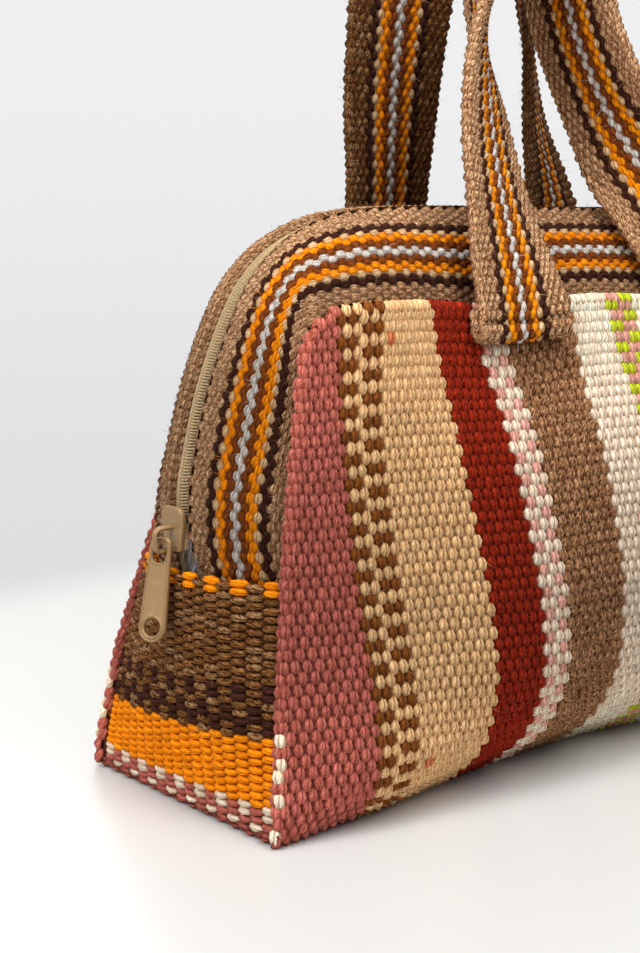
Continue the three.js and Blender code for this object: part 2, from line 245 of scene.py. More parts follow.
def frames(face: Face, across: Array, along: Array) -> tuple[Array, Array, Array]:
    """Reads a face with its directions.

    Args:
        face: The surface.
        across: Places across the warps.
        along: Places along the warps.

    Returns:
        Points, directions along the warps and outward normals.
    """
    side, forth = face.step
    place = face.points(across, along)
    forward = unit(face.points(across, along + forth) - face.points(across, along - forth))
    sideways = face.points(across + side, along) - face.points(across - side, along)
    return place, forward, face.turn * unit(np.cross(forward, sideways))


@dataclass(frozen=True)
class Station:
    """One section of the body: its share of the half-length, its rim's rise and its depth at each level."""

    share: float
    rise: float
    depth: Numbers


@dataclass(frozen=True)
class BodyForm:
    """Outer face of the bag's body. Levels run down a half-section, from the rim to the base's middle."""

    height: Numbers = (130, 110, 90, 70, 50, 35, 20, 8, 0, 0)
    front_half: Numbers = (108.5, 111.5, 114.5, 117.5, 120.3, 122.6, 124.6, 126.2, 127, 127)
    back_half: Numbers = (96.5, 101.5, 107.5, 114.5, 119, 122, 124.2, 126, 127, 127)
    back_lean: Numbers = (0.72, 0.75, 0.80, 0.87, 0.94, 0.98, 1, 1, 1, 1)
    middle: Triple = (0, 0, 70)
    slope_reach: float = 1e-3
    stations: tuple[Station, ...] = (
        Station(1.00, 0.0, (31.0, 32.5, 34.0, 35.8, 38.0, 40.0, 42.0, 43.4, 43.0, 0)),
        Station(0.90, 1.0, (31.8, 32.8, 35.0, 37.5, 41.0, 44.0, 46.0, 45.0, 38.0, 0)),
        Station(0.78, 1.8, (31.8, 32.6, 35.0, 38.3, 43.3, 47.0, 49.0, 45.5, 34.0, 0)),
        Station(0.66, 1.8, (30.0, 32.0, 35.2, 39.5, 44.5, 47.5, 48.6, 43.5, 31.0, 0)),
        Station(0.50, 0.8, (26.0, 29.4, 36.3, 43.0, 48.8, 50.6, 48.2, 40.0, 26.0, 0)),
        Station(0.33, -0.5, (24.4, 29.2, 38.0, 44.6, 49.8, 51.0, 47.0, 37.0, 22.0, 0)),
        Station(0.15, 1.4, (26.0, 32.0, 40.6, 46.6, 50.3, 50.0, 45.0, 34.5, 19.0, 0)),
        Station(0.00, 2.0, (27.0, 33.0, 41.4, 47.1, 50.3, 49.6, 44.4, 33.5, 18.0, 0)),
    )

    @property
    def levels(self) -> Array:
        """Places of the levels, counted from the rim."""
        return np.arange(len(self.height), dtype=float)

    def half(self, level: Array, side: Array) -> Array:
        """Gives half the body's length at places down a side."""
        front = spline(self.levels, self.front_half, level)
        return np.where(side < 0, front, spline(self.levels, self.back_half, level))

    def level_at(self, height: Array) -> Array:
        """Gives the level of heights above the floor."""
        fine = np.linspace(0, 8, 1601)
        return np.interp(-np.asarray(height), -spline(self.levels, self.height, fine), fine)

    def outer(self, share: Array, level: Array, side: Array) -> Array:
        """Gives points of the outer face.

        Args:
            share: Places along the length, -1 to 1.
            level: Places down the half-section.
            side: FRONT or BACK for each place.

        Returns:
            The points.
        """
        share, level, side = np.broadcast_arrays(*(np.asarray(v, float) for v in (share, level, side)))
        rows = [*self.stations, *self.stations[-2::-1]]
        signs = [-1] * len(self.stations) + [1] * (len(self.stations) - 1)
        shares = [sign * row.share for sign, row in zip(signs, rows)]
        lean = np.where(side[..., None] < 0, 1.0, np.array(self.back_lean))
        columns = np.array([row.depth for row in rows]).T
        depth = np.stack([spline(shares, column, share) for column in columns], axis=-1) * lean
        height = np.broadcast_to(np.array(self.height, float), depth.shape).copy()
        height[..., 0] += spline(shares, [row.rise for row in rows], share)
        x, y = share * self.half(level, side), side * spline(self.levels, depth, level)
        return np.stack([x, y, spline(self.levels, height, level)], axis=-1)

    def slopes(self, share: Array, level: Array, side: Array) -> tuple[Array, Array]:
        """Gives the directions along the length and up the side, at places of the outer face."""
        small = self.slope_reach
        along = self.outer(share + small, level, side) - self.outer(share - small, level, side)
        upward = self.outer(share, level - small, side) - self.outer(share, level + small, side)
        return unit(along), unit(upward)

    def normal(self, share: Array, level: Array, side: Array) -> Array:
        """Gives the outward normals at places of the outer face."""
        along, upward = self.slopes(share, level, side)
        normal = unit(np.cross(along, upward))
        away = (self.outer(share, level, side) - np.array(self.middle)) * normal
        return np.where(away.sum(axis=-1, keepdims=True) < 0, -normal, normal)

    def offset(self, share: Array, level: Array, side: Array, distance: float) -> Array:
        """Gives points at a distance outside the outer face."""
        return self.outer(share, level, side) + distance * self.normal(share, level, side)


BODY = BodyForm()

# Levels of the striped cloth: its rim, the hems of its base and the middle of its base
RIM = 0.08
HEM = 7.0
KEEL = 9.0


@dataclass
class ClothFace:
    """The striped cloth's outer face, from the front rim (-KEEL) under the base (0) to the back rim (KEEL).

    Across is X where the cloth hangs free. Past its end seams and rims it rolls round a fold. Towards the rim
    its warps are gathered.
    """

    fold_radius: float = 1.7
    corner: float = 5.5
    corner_depth: float = 0.45
    seam_levels: Numbers = (0, 1.5, 3.5, 6, KEEL)
    seam_draw: Numbers = (1.9, 1.2, 0.5, 0.2, 0.1)
    gather_depth: float = 1.4
    gather_free: Numbers = (-99.0, -86.7, -60.4, -43.3, -12.3, 6.3, 22, 60)
    gather_rim: Numbers = (-98.7, -84.3, -66.0, -48.6, -11.5, 1.3, 16.5, 60)
    normal_levels: Pair = (0.01, KEEL - 0.05)
    inside_keel: float = KEEL - 1e-3
    turn: float = 1.0
    step: Pair = (0.05, 0.005)

    def gathered(self, across: Array, level: Array) -> Array:
        """Moves warps towards their gathered places near the rim."""
        shift = np.interp(across, self.gather_free, np.subtract(self.gather_rim, self.gather_free))
        return across + shift * np.clip(1 - level / self.gather_depth, 0, 1)

    def half(self, level: Array, side: Array) -> Array:
        """Gives half the cloth's length between its end folds, with drawn-in seams and round top corners."""
        rounding = self.corner * np.clip(1 - (level - RIM) / self.corner_depth, 0, 1) ** 2
        return BODY.half(level, side) - rounding - np.interp(level, self.seam_levels, self.seam_draw)

    def past_end(self, across: Array, along: Array) -> Array:
        """Gives how far places lie past an end fold, or a negative distance inside it."""
        side = np.where(along < 0, FRONT, BACK)
        level = np.clip(KEEL - np.abs(along), RIM, KEEL)
        return np.abs(self.gathered(across, level)) - self.half(level, side)

    def points(self, across: Array, along: Array) -> Array:
        """Gives the points at places across and along."""
        side = np.where(along < 0, FRONT, BACK)
        level = KEEL - np.abs(along)
        inside = np.clip(level, RIM, self.inside_keel)
        half = self.half(inside, side)
        wanted = self.gathered(across, inside)
        x = np.clip(wanted, -half, half)
        share = x / BODY.half(inside, side)
        point = BODY.outer(share, inside, side)
        normal = BODY.normal(share, np.clip(inside, *self.normal_levels), side)
        along_x, upward = BODY.slopes(share, inside, side)
        outward = np.sign(wanted)[..., None] * along_x
        point = fold(point, outward, normal, np.abs(wanted - x), self.fold_radius)
        rise = np.maximum(RIM - level, 0) * (BODY.height[0] - BODY.height[1])
        return point + fold(np.zeros_like(point), upward, normal, rise, self.fold_radius)

    def runs(self, warps: Array, start: float, stop: float, count: int) -> Array:
        """Divides each warp between two places into equal picks.

        Args:
            warps: Places of the warps across the cloth.
            start: Where the run starts along the cloth.
            stop: Where it stops.
            count: Number of picks.

        Returns:
            The places of the picks, one row for each warp.
        """
        fine = np.linspace(start, stop, 121)
        across, along = np.meshgrid(warps, fine, indexing="ij")
        side, level = np.where(along < 0, FRONT, BACK), np.clip(KEEL - np.abs(along), RIM, self.inside_keel)
        share = np.clip(across / BODY.half(level, side), -1, 1)
        return np.stack([middles(count, run, fine) for run in run_lengths(BODY.outer(share, level, side))])


@dataclass
class GussetFace:
    """Outer face of an end gusset. Across is the height, along runs from the front panel to the back one."""

    end: float
    top: float = 62.5
    inset: float = 0.8
    fullness: float = 2.4
    heights: Numbers = (0, 20, 42, 64)
    bulge: Numbers = (0.2, 5, 9.4, 12.6)
    fold_radius: float = 1.6
    slope_reach: float = 0.2
    step: Pair = (0.05, 0.005)

    @property
    def turn(self) -> float:
        """Turns the normals out of this end."""
        return self.end

    def flat(self, height: Array, along: Array) -> Array:
        """Gives points of the face below its top edge."""
        level = BODY.level_at(height)
        side = np.where(along < 0, FRONT, BACK)
        half = np.abs(BODY.outer(np.ones_like(level), level, side)[..., 1]) - CLOTH - GAP
        bulge = spline(self.heights, self.bulge, height) * (1 - np.abs(along) ** self.fullness)
        front, back = (BODY.half(level, np.full_like(level, edge)) for edge in (FRONT, BACK))
        edge = front + (back - front) * (along + 1) / 2
        return np.stack([self.end * (edge - self.inset + bulge), along * half, height], axis=-1)

    def points(self, across: Array, along: Array) -> Array:
        """Gives the points at heights and places along."""
        across, along = np.broadcast_arrays(np.asarray(across, float), np.asarray(along, float))
        height = np.minimum(across, self.top)
        place = self.flat(height, along)
        upward = unit(place - self.flat(height - self.slope_reach, along))
        normal = np.broadcast_to(np.array([self.end, 0.0, 0.0]), place.shape)
        return fold(place, upward, normal, across - height, self.fold_radius)


@dataclass(frozen=True)
class BandRow:
    """One station of a band: the zip's line and the seam's place on the body."""

    zip_x: float
    zip_z: float
    share: float
    level: float


@dataclass(frozen=True)
class ZipLine:
    """The zip's own line, from the foot of the left end over the top to the right end."""

    rows: tuple[BandRow, ...] = (
        BandRow(-118.6, 57, -0.930, 3.62),
        BandRow(-121.6, 66, -0.952, 3.20),
        BandRow(-123.4, 74, -0.974, 2.80),
        BandRow(-123.4, 83, -0.985, 2.35),
        BandRow(-121.6, 93, -0.985, 1.90),
        BandRow(-118.4, 106, -0.985, 1.40),
        BandRow(-112.6, 121, -0.985, 0.90),
        BandRow(-104.0, 136, -0.982, 0.42),
        BandRow(-91.8, 146, -0.950, 0.14),
        BandRow(-77.0, 151, -0.800, 0.12),
        BandRow(-60.0, 152.7, -0.600, 0.12),
        BandRow(-38.0, 153, -0.370, 0.12),
        BandRow(0, 153, 0, 0.12),
    )
    reach: float = 0.05

    @property
    def end(self) -> int:
        """Place of the right end, counted in rows from the left."""
        return 2 * (len(self.rows) - 1)

    def value(self, name: str, at: Array, sign: float) -> Array:
        """Reads one column of the rows, mirrored past the middle with a sign."""
        left = [getattr(row, name) for row in self.rows]
        return spline(np.arange(self.end + 1), [*left, *(sign * v for v in left[-2::-1])], at)

    def point(self, at: Array) -> Array:
        """Gives points of the zip's line."""
        at = np.asarray(at, float)
        x, z = self.value("zip_x", at, -1), self.value("zip_z", at, 1)
        return np.stack([x, np.zeros_like(at), z], axis=-1)

    def outward(self, at: Array) -> Array:
        """Gives the directions out of the bag along the zip's line."""
        at = np.asarray(at, float)
        along = self.point(np.minimum(at + self.reach, self.end)) - self.point(np.maximum(at - self.reach, 0))
        return unit(np.stack([-along[..., 2], np.zeros_like(at), along[..., 0]], axis=-1))

    def places(self, start: float, stop: float, pitch: float) -> Array:
        """Divides the line between two places into steps of about one length.

        Args:
            start: Where the steps start, in rows.
            stop: Where they stop.
            pitch: Length of a step.

        Returns:
            The middles of the steps, in rows.
        """
        fine = np.linspace(start, stop, 900)
        length = run_lengths(self.point(fine))
        return middles(round(length[-1] / pitch), length, fine)


ZIP = ZipLine()


@dataclass
class BandFace:
    """Outer face of the strap beside the zip. Across runs from the seam (0) to the zip (1), along in rows."""

    side: float
    puff: float = 4.2
    lift: float = 3.3
    slot: float = 5.2
    step: Pair = (0.004, 0.01)

    @property
    def turn(self) -> float:
        """Turns the normals out of this side."""
        return -self.side

    def points(self, across: Array, along: Array) -> Array:
        """Gives the points at places across and along."""
        across, along = np.broadcast_arrays(np.asarray(across, float), np.asarray(along, float))
        along = np.clip(along, 0, ZIP.end)
        share, level = ZIP.value("share", along, -1), ZIP.value("level", along, 1)
        side = np.full_like(along, self.side)
        seam = BODY.offset(share, level, side, -CLOTH - TUCK)
        out = ZIP.outward(along)
        edge = ZIP.point(along) + out * self.lift + np.array([0, self.side * self.slot, 0])
        chord = edge - seam
        forward = np.cross(out, np.array([0.0, 1.0, 0.0]))
        puff = unit(np.cross(chord, forward))
        puff = np.where(puff[..., 1:2] * self.side < 0, -puff, puff)
        return seam + chord * across[..., None] + puff * (self.puff * 4 * across * (1 - across))[..., None]


@dataclass(frozen=True)
class StrapRow:
    """One station of a handle's free strap: its centre and the bearing of its width from +X."""

    x: float
    y: float
    z: float
    turn: float


@dataclass
class StrapFace:
    """Outer face of a handle, all round its section.

    Across is millimetres round the section from the middle of its outer face, along is millimetres from the
    tucked end of its left foot.
    """

    side: float
    feet: Pair
    rows: tuple[StrapRow, ...]
    foot_bottom: float = 0.42
    foot_top: float = 0.06
    foot_spread: float = 1.04
    tuck_top: float = 0.12
    crease_at: float = 12.3
    crease_depth: float = 1.1
    crease_width: float = 0.9
    slope_reach: float = 0.6
    step: Pair = (0.08, 0.25)
    columns: int = 9
    smoothing: int = 6
    middle: Array = field(init=False, repr=False)
    length: Array = field(init=False, repr=False)

    def __post_init__(self) -> None:
        """Works out the strap's middle surface once."""
        halves = np.linspace(-1, 1, self.columns)
        rows = [*self.foot(self.feet[0], halves), *self.free(halves), *self.foot(self.feet[1], -halves)[::-1]]
        grid = np.array(rows)
        for _ in range(self.smoothing):
            grid[1:-1] = (grid[:-2] + 2 * grid[1:-1] + grid[2:]) / 4
        self.middle, self.length = grid, run_lengths(grid[:, self.columns // 2])

    def foot(self, x: float, halves: Array) -> list[Array]:
        """Gives the middle surface of one foot, from its tucked end round the fold and up its face.

        Args:
            x: The foot's middle along the bag.
            halves: Places across the strap, -1 to 1.

        Returns:
            Rows of points.
        """
        side = np.full_like(halves, self.side)

        def row(level: float, distance: float) -> Array:
            """Gives one row of the foot at a distance outside the panel."""
            levels = np.full_like(halves, level)
            wide = x + halves * self.foot_spread * STRAP_WIDTH / 2
            return BODY.offset(wide / BODY.half(levels, side), levels, side, distance)

        tucked, face = LAP + STRAP / 2, LAP + 1.5 * STRAP
        down = unit(row(self.foot_bottom + 0.02, LAP) - row(self.foot_bottom, LAP))
        up = [row(level, tucked) for level in np.linspace(self.tuck_top, self.foot_bottom, 8)[:-1]]
        turns = np.linspace(-math.pi / 2, math.pi / 2, 9)
        bend = [row(self.foot_bottom, LAP + STRAP + STRAP / 2 * math.sin(t)) + down * STRAP / 2 * math.cos(t)
                for t in turns]
        front = [row(level, face) for level in np.linspace(self.foot_bottom, self.foot_top, 12)[1:]]
        return up + bend + front

    def free(self, halves: Array) -> list[Array]:
        """Gives the middle surface of the strap between its feet."""
        index = np.arange(len(self.rows))
        at = np.linspace(0, len(self.rows) - 1, 161)
        x, y, z, turn = (spline(index, [getattr(row, name) for row in self.rows], at)
                         for name in ("x", "y", "z", "turn"))
        centre, bearing = np.stack([x, y, z], axis=-1), np.radians(turn)
        wide = np.stack([np.cos(bearing), np.sin(bearing), np.zeros_like(bearing)], axis=-1)
        along = unit(np.gradient(centre, axis=0))
        wide = unit(wide - along * (wide * along).sum(axis=-1, keepdims=True))
        return [c + np.outer(halves, w) * STRAP_WIDTH / 2 for c, w in zip(centre, wide)]

    def sample(self, across: Array, along: Array) -> Array:
        """Reads the middle surface at millimetres across and along."""
        row = np.interp(along, self.length, np.arange(len(self.length)))
        column = np.clip((across / STRAP_WIDTH + 0.5) * (self.columns - 1), 0, self.columns - 1)
        i = np.clip(row.astype(int), 0, len(self.length) - 2)
        j = np.clip(column.astype(int), 0, self.columns - 2)
        s, t = (row - i)[..., None], (column - j)[..., None]
        near = self.middle[i, j] * (1 - t) + self.middle[i, j + 1] * t
        far = self.middle[i + 1, j] * (1 - t) + self.middle[i + 1, j + 1] * t
        return near * (1 - s) + far * s

    @property
    def turn(self) -> float:
        """Turns the normals out of the strap."""
        return self.side

    @property
    def flat_width(self) -> float:
        """Width of the strap's flat face, between its rounded edges."""
        return STRAP_WIDTH - STRAP

    def section(self, across: Array) -> tuple[Array, Array]:
        """Gives the width and height of places round the strap's section."""
        flat, bend = self.flat_width, math.pi * STRAP / 2
        lap, place = np.divmod(across + flat / 2, flat + bend)
        face = np.where(lap % 2 == 0, 1, -1)
        turn = np.clip((place - flat) / bend, 0, 1) * math.pi
        wide = np.minimum(place, flat) - flat / 2 + STRAP / 2 * np.sin(turn)
        return face * wide, face * STRAP / 2 * np.cos(turn)

    def crease(self, along: Array) -> Array:
        """Gives how deep the row of sewing near each foot draws the face in."""
        ends = self.crease_at, self.length[-1] - self.crease_at
        return self.crease_depth * sum(np.exp(-((along - end) / self.crease_width) ** 2) for end in ends)

    def points(self, across: Array, along: Array) -> Array:
        """Gives the points at millimetres round the section and along the strap."""
        across, along = np.broadcast_arrays(np.asarray(across, float), np.asarray(along, float))
        wide, high = self.section(across)
        reach, limit = self.slope_reach, STRAP_WIDTH / 2
        forward = self.sample(wide, along + reach) - self.sample(wide, along - reach)
        right, left = np.minimum(wide + reach, limit), np.maximum(wide - reach, -limit)
        sideways = self.sample(right, along) - self.sample(left, along)
        normal = self.side * -unit(np.cross(sideways, forward))
        drawn = high - np.where(high > 0, self.crease(along), 0)
        return self.sample(wide, along) + normal * drawn[..., None]


# Weaving


@dataclass
class Layout:
    """Places of yarn floats, one row of each array for each float."""

    place: Array
    along: Array
    up: Array
    size: Array
    yarn: Array

    def plus(self, other: "Layout") -> "Layout":
        """Adds another layout's floats to this one's."""
        return Layout(*(np.concatenate([getattr(self, n), getattr(other, n)])
                        for n in ("place", "along", "up", "size", "yarn")))

    def fade(self, heights: Sequence[float], tones: Sequence[float]) -> None:
        """Paints light and shade into the yarns' colours, lighter or darker by their height above the floor.
        """
        tone = np.interp(self.place[:, 2], heights, tones)[:, None]
        self.yarn[:, :3] = np.clip(self.yarn[:, :3] * tone, 0, 1)


@dataclass
class Loom:
    """Works out where each yarn float of a cloth lies, with its size and colour."""

    seed: int = SEED
    shade: float = 0.055
    fibre_lean: Pair = (0.1, 0.8)
    fibre_shift: float = 0.3
    fibre_seat: float = 0.75
    fibre_lengths: Pair = (0.5, 1.4)
    fibre_bow: float = 0.35
    random: np.random.Generator = field(init=False, repr=False)

    def __post_init__(self) -> None:
        """Starts the loom's own run of chance."""
        self.random = np.random.default_rng(self.seed)

    def colours(self, yarns: Sequence[Yarn]) -> Array:
        """Gives each float its colour, near its yarn's, with its mottling as alpha."""
        finishes = [yarn.value for yarn in yarns]
        base = np.array([linear(f.colour) for f in finishes])
        stray = np.array([linear(f.stray or f.colour) for f in finishes])
        chance = np.array([f.chance for f in finishes])
        heather = np.array([[f.heather] for f in finishes])
        base = np.where((self.random.random(len(base)) < chance)[:, None], stray, base)
        shade = np.exp(self.random.normal(0, self.shade, len(base)))[:, None]
        return np.concatenate([np.clip(base * shade, 0, 1), heather], axis=1)

    @staticmethod
    def shown(shape: tuple[int, int], first_pick: int, keep: Array | None) -> Array:
        """Tells which of the kept warps and picks show a float, the warps lying on top in turn."""
        number = np.add.outer(np.arange(shape[0]), np.arange(shape[1])) + first_pick
        on_top = number % 2 == 0
        return on_top if keep is None else on_top & keep

    def weave(self, face: Face, warps: Array, picks: Array, chart: Sequence[Yarn], gauge: Gauge,
              first_pick: int = 0, keep: Array | None = None) -> Layout:
        """Lays the floats of a warp-faced plain weave, where neighbouring warps show at alternate picks.

        Args:
            face: What the cloth lies on.
            warps: Places of the warps, one for each, or one for each warp and pick.
            picks: Places of the picks, one row for each warp.
            chart: Yarn of each warp.
            gauge: The weave's sizes.
            first_pick: Number of the first pick, so that joined cloths alternate without a break.
            keep: Which warps and picks to lay, or all of them.

        Returns:
            The layout.
        """
        shown = self.shown(picks.shape, first_pick, keep)
        across = np.broadcast_to(warps.reshape(len(picks), -1), picks.shape)[shown]
        place, along, up = frames(face, across, picks[shown])
        size = np.tile([gauge.length, gauge.width, gauge.height], (len(place), 1))
        yarns = [chart[warp] for warp in np.nonzero(shown)[0]]
        return Layout(place - up * gauge.sink, along, up, size, self.colours(yarns))

    def stray(self, layout: Layout, share: float, length: float, thick: float) -> Layout:
        """Picks floats that a stray fibre stands out from, and lays the fibres.

        Args:
            layout: The floats.
            share: Number of fibres for each float.
            length: Usual length of a fibre.
            thick: Its width.

        Returns:
            The fibres' layout.
        """
        count = int(len(layout.place) * share)
        chosen = self.random.integers(0, len(layout.place), count)
        along, up, size = layout.along[chosen], layout.up[chosen], layout.size[chosen]
        side = np.cross(up, along)
        turn = self.random.uniform(0, 2 * math.pi, count)[:, None]
        lean = self.random.uniform(*self.fibre_lean, count)[:, None]
        flat = along * np.cos(turn) + side * np.sin(turn)
        shift = self.random.uniform(-self.fibre_shift, self.fibre_shift, (count, 2)) * size[:, :2]
        seat = up * size[:, 2:] * self.fibre_seat
        place = layout.place[chosen] + along * shift[:, :1] + side * shift[:, 1:] + seat
        lengths = length * self.random.uniform(*self.fibre_lengths, count)
        bows = length * self.random.uniform(-self.fibre_bow, self.fibre_bow, count)
        sizes = np.stack([lengths, np.full(count, thick), bows], axis=-1)
        run, bow = flat * np.cos(lean) + up * np.sin(lean), up * np.cos(lean) - flat * np.sin(lean)
        tip = place + run * sizes[:, :1] + bow * sizes[:, 2:]
        clear = np.minimum(place, tip)[:, 2] > length / 2
        return Layout(*(values[clear] for values in (place, run, bow, sizes, layout.yarn[chosen])))


class NodeBench:
    """Adds and links nodes in a tree."""

    def __init__(self, tree: NodeTree) -> None:
        """Takes the tree to work in."""
        self.tree = tree

    def feed(self, node: Node, inputs: dict) -> None:
        """Sets a node's inputs, by name or number, to values, or links them to sockets."""
        for key, value in inputs.items():
            if isinstance(value, NodeSocket):
                self.tree.links.new(value, node.inputs[key])
            else:
                node.inputs[key].default_value = value

    def add(self, kind: str, inputs: dict | None = None, **settings: object) -> Node:
        """Adds a node.

        Args:
            kind: The node's type name.
            inputs: Values or sockets for its inputs, by name or number.
            **settings: The node's own properties.

        Returns:
            The node.
        """
        node = self.tree.nodes.new(kind)
        for name, value in settings.items():
            setattr(node, name, value)
        self.feed(node, inputs or {})
        return node

    def math(self, operation: str, *terms: object) -> NodeSocket:
        """Adds a sum on numbers and gives its result."""
        return self.add("ShaderNodeMath", dict(enumerate(terms)), operation=operation).outputs[0]

    def product(self, *terms: object) -> NodeSocket:
        """Multiplies numbers and gives the result."""
        result = terms[0]
        for term in terms[1:]:
            result = self.math("MULTIPLY", result, term)
        return result

    def less(self, amount: object, effect: object) -> NodeSocket:
        """Gives one less an amount of an effect."""
        return self.math("SUBTRACT", 1.0, self.product(amount, effect))

    def off_middle(self, share: object) -> NodeSocket:
        """Gives how far a share lies from its middle: 0 there and 1 at either end."""
        return self.math("ABSOLUTE", self.math("SUBTRACT", self.product(share, 2.0), 1.0))

    def ramp(self, value: object, low: float, high: float, start: float, stop: float) -> NodeSocket:
        """Adds a smooth step from start at low to stop at high and gives its result."""
        node = self.add("ShaderNodeMapRange", {0: value, 1: low, 2: high, 3: start, 4: stop},
                        interpolation_type="SMOOTHSTEP")
        return node.outputs[0]

    def noise(self, place: object, scale: float, detail: float) -> NodeSocket:
        """Adds a noise and gives its value."""
        inputs = {"Vector": place, "Scale": scale, "Detail": detail}
        return self.add("ShaderNodeTexNoise", inputs).outputs["Fac"]

    def place(self) -> NodeSocket:
        """Gives the place in the object's own coordinates."""
        return self.add("ShaderNodeTexCoord").outputs["Object"]

    def attribute(self, name: str) -> object:
        """Gives the outputs of one of the mesh's own values."""
        return self.add("ShaderNodeAttribute", attribute_name=name).outputs

    def float_place(self) -> NodeSocket:
        """Gives the place along and across a float."""
        return self.add("ShaderNodeUVMap", uv_map=FLOAT_UV).outputs[0]

    def parts(self, vector: object) -> object:
        """Gives the three numbers of a vector."""
        return self.add("ShaderNodeSeparateXYZ", {0: vector}).outputs

    def bump(self, height: object, strength: float, distance: float) -> NodeSocket:
        """Adds a bump and gives its normal."""
        inputs = {"Height": height, "Strength": strength, "Distance": distance}
        return self.add("ShaderNodeBump", inputs).outputs[0]

    def vector(self, x: object, y: object, z: object) -> NodeSocket:
        """Joins three numbers into a vector."""
        return self.add("ShaderNodeCombineXYZ", {"X": x, "Y": y, "Z": z}).outputs[0]

    def scaled(self, vector: object, scale: object) -> NodeSocket:
        """Scales a vector or a colour."""
        return self.add("ShaderNodeVectorMath", {0: vector, "Scale": scale}, operation="SCALE").outputs[0]

    def blend(self, share: object, first: Colour, second: Colour) -> NodeSocket:
        """Mixes two screen colours by a share of the second."""
        mix = self.add("ShaderNodeMix", {"Factor": share}, data_type="RGBA")
        sockets = [s for s in mix.inputs if s.type == "RGBA"]
        for target, colour in zip(sockets, (first, second)):
            target.default_value = (*linear(colour), 1)
        return [s for s in mix.outputs if s.type == "RGBA"][0]

    def chance(self, low: object, high: object, seed: object) -> NodeSocket:
        """Adds a random number between two limits, one for each point."""
        inputs = {"Min": low, "Max": high, "Seed": seed}
        node = self.add("FunctionNodeRandomValue", inputs, data_type="FLOAT")
        return [s for s in node.outputs if s.enabled][0]


def socket(tree: NodeTree, name: str, kind: str, way: str = "INPUT", default: object = None) -> str:
    """Adds a socket to a tree's interface.

    Args:
        tree: The tree.
        name: The socket's name.
        kind: Its type, without the prefix.
        way: INPUT or OUTPUT.
        default: Its value, if it has one.

    Returns:
        Its identifier.
    """
    made = tree.interface.new_socket(name, in_out=way, socket_type=f"NodeSocket{kind}")
    if default is not None:
        made.default_value = default
    return made.identifier


class FloatTree:
    """Geometry Nodes tree that lays one small shape on every point, turned and sized by its attributes."""

    size_chance = 0.06
    seed_step = 7.0

    def __init__(self) -> None:
        """Builds the tree once."""
        tree = bpy.data.node_groups.new("lay_floats", "GeometryNodeTree")
        socket(tree, "Geometry", "Geometry")
        self.shape = socket(tree, "Shape", "Object")
        self.finish = socket(tree, "Finish", "Material")
        socket(tree, "Size chance", "Float", default=self.size_chance)
        self.turn_chance = socket(tree, "Turn chance", "Float", default=FLOAT_TURN)
        self.seed = socket(tree, "Seed", "Int", default=SEED)
        socket(tree, "Geometry", "Geometry", "OUTPUT")
        bench = NodeBench(tree)
        given = bench.add("NodeGroupInput").outputs
        along, up, size = (
            bench.add("GeometryNodeInputNamedAttribute", {"Name": name},
                      data_type="FLOAT_VECTOR").outputs["Attribute"]
            for name in ("along", "up", "size"))
        stand = bench.add("FunctionNodeAxesToRotation", {"Primary Axis": up, "Secondary Axis": along},
                          primary_axis="Z", secondary_axis="X").outputs[0]
        sway = bench.chance(bench.product(given["Turn chance"], -1.0), given["Turn chance"], given["Seed"])
        euler = bench.add("ShaderNodeCombineXYZ", {"Z": sway}).outputs[0]
        spin = bench.add("FunctionNodeEulerToRotation", {"Euler": euler}).outputs[0]
        turned = bench.add("FunctionNodeRotateRotation", {"Rotation": stand, "Rotate By": spin},
                           rotation_space="LOCAL").outputs[0]
        low, high = (bench.math(sign, 1.0, given["Size chance"]) for sign in ("SUBTRACT", "ADD"))
        grow = bench.chance(low, high, bench.math("ADD", given["Seed"], self.seed_step))
        shape = bench.add("GeometryNodeObjectInfo", {"Object": given["Shape"]}).outputs["Geometry"]
        laid = bench.add("GeometryNodeInstanceOnPoints", {
            "Points": given["Geometry"], "Instance": shape, "Rotation": turned,
            "Scale": bench.scaled(size, grow)}).outputs[0]
        real = bench.add("GeometryNodeRealizeInstances", {"Geometry": laid}).outputs[0]
        smooth = bench.add("GeometryNodeSetShadeSmooth", {"Geometry": real}).outputs[0]
        dressed = bench.add("GeometryNodeSetMaterial", {"Geometry": smooth, "Material": given["Finish"]})
        bench.add("NodeGroupOutput", {"Geometry": dressed.outputs[0]})
        self.tree = tree


def unit_shape(name: str, points: Sequence[Sequence[float]], faces: Sequence[Sequence[int]],
               places: Sequence[Pair]) -> Object:
    """Builds a small shape for the float tree as an object that isn't shown itself.

    Args:
        name: The object's name.
        points: Its points.
        faces: Point numbers of each face.
        places: Where each point lies along and across the yarn, as shares.

    Returns:
        The object.
    """
    mesh = bpy.data.meshes.new(name)
    mesh.from_pydata(points, [], faces)
    layer = mesh.uv_layers.new(name=FLOAT_UV)
    for loop in mesh.loops:
        layer.data[loop.index].uv = places[loop.vertex_index]
    return bpy.data.objects.new(name, mesh)


@dataclass(frozen=True)
class FloatShape:
    """Unit shape of a float: a low dome, drawn in at its ends, with a crease between its two plies."""

    places: Numbers = (-0.5, -0.3, 0, 0.3, 0.5)
    widths: Numbers = (0.22, 0.84, 1, 0.84, 0.22)
    heights: Numbers = (0.0, 0.7, 1, 0.7, 0.0)
    sides: Numbers = (-0.5, -0.28, 0, 0.28, 0.5)
    dome: Numbers = (0, 0.94, 0.84, 0.94, 0)

    def build(self, name: str) -> Object:
        """Builds the shape under a name."""
        points = [(x, s * w, h * d) for x, w, h in zip(self.places, self.widths, self.heights)
                  for s, d in zip(self.sides, self.dome)]
        faces = [(a, d, c, b) for a, b, c, d in grid_faces(len(self.places), len(self.sides))]
        places = [(x + 0.5, s + 0.5) for x in self.places for s in self.sides]
        return unit_shape(name, points, faces, places)


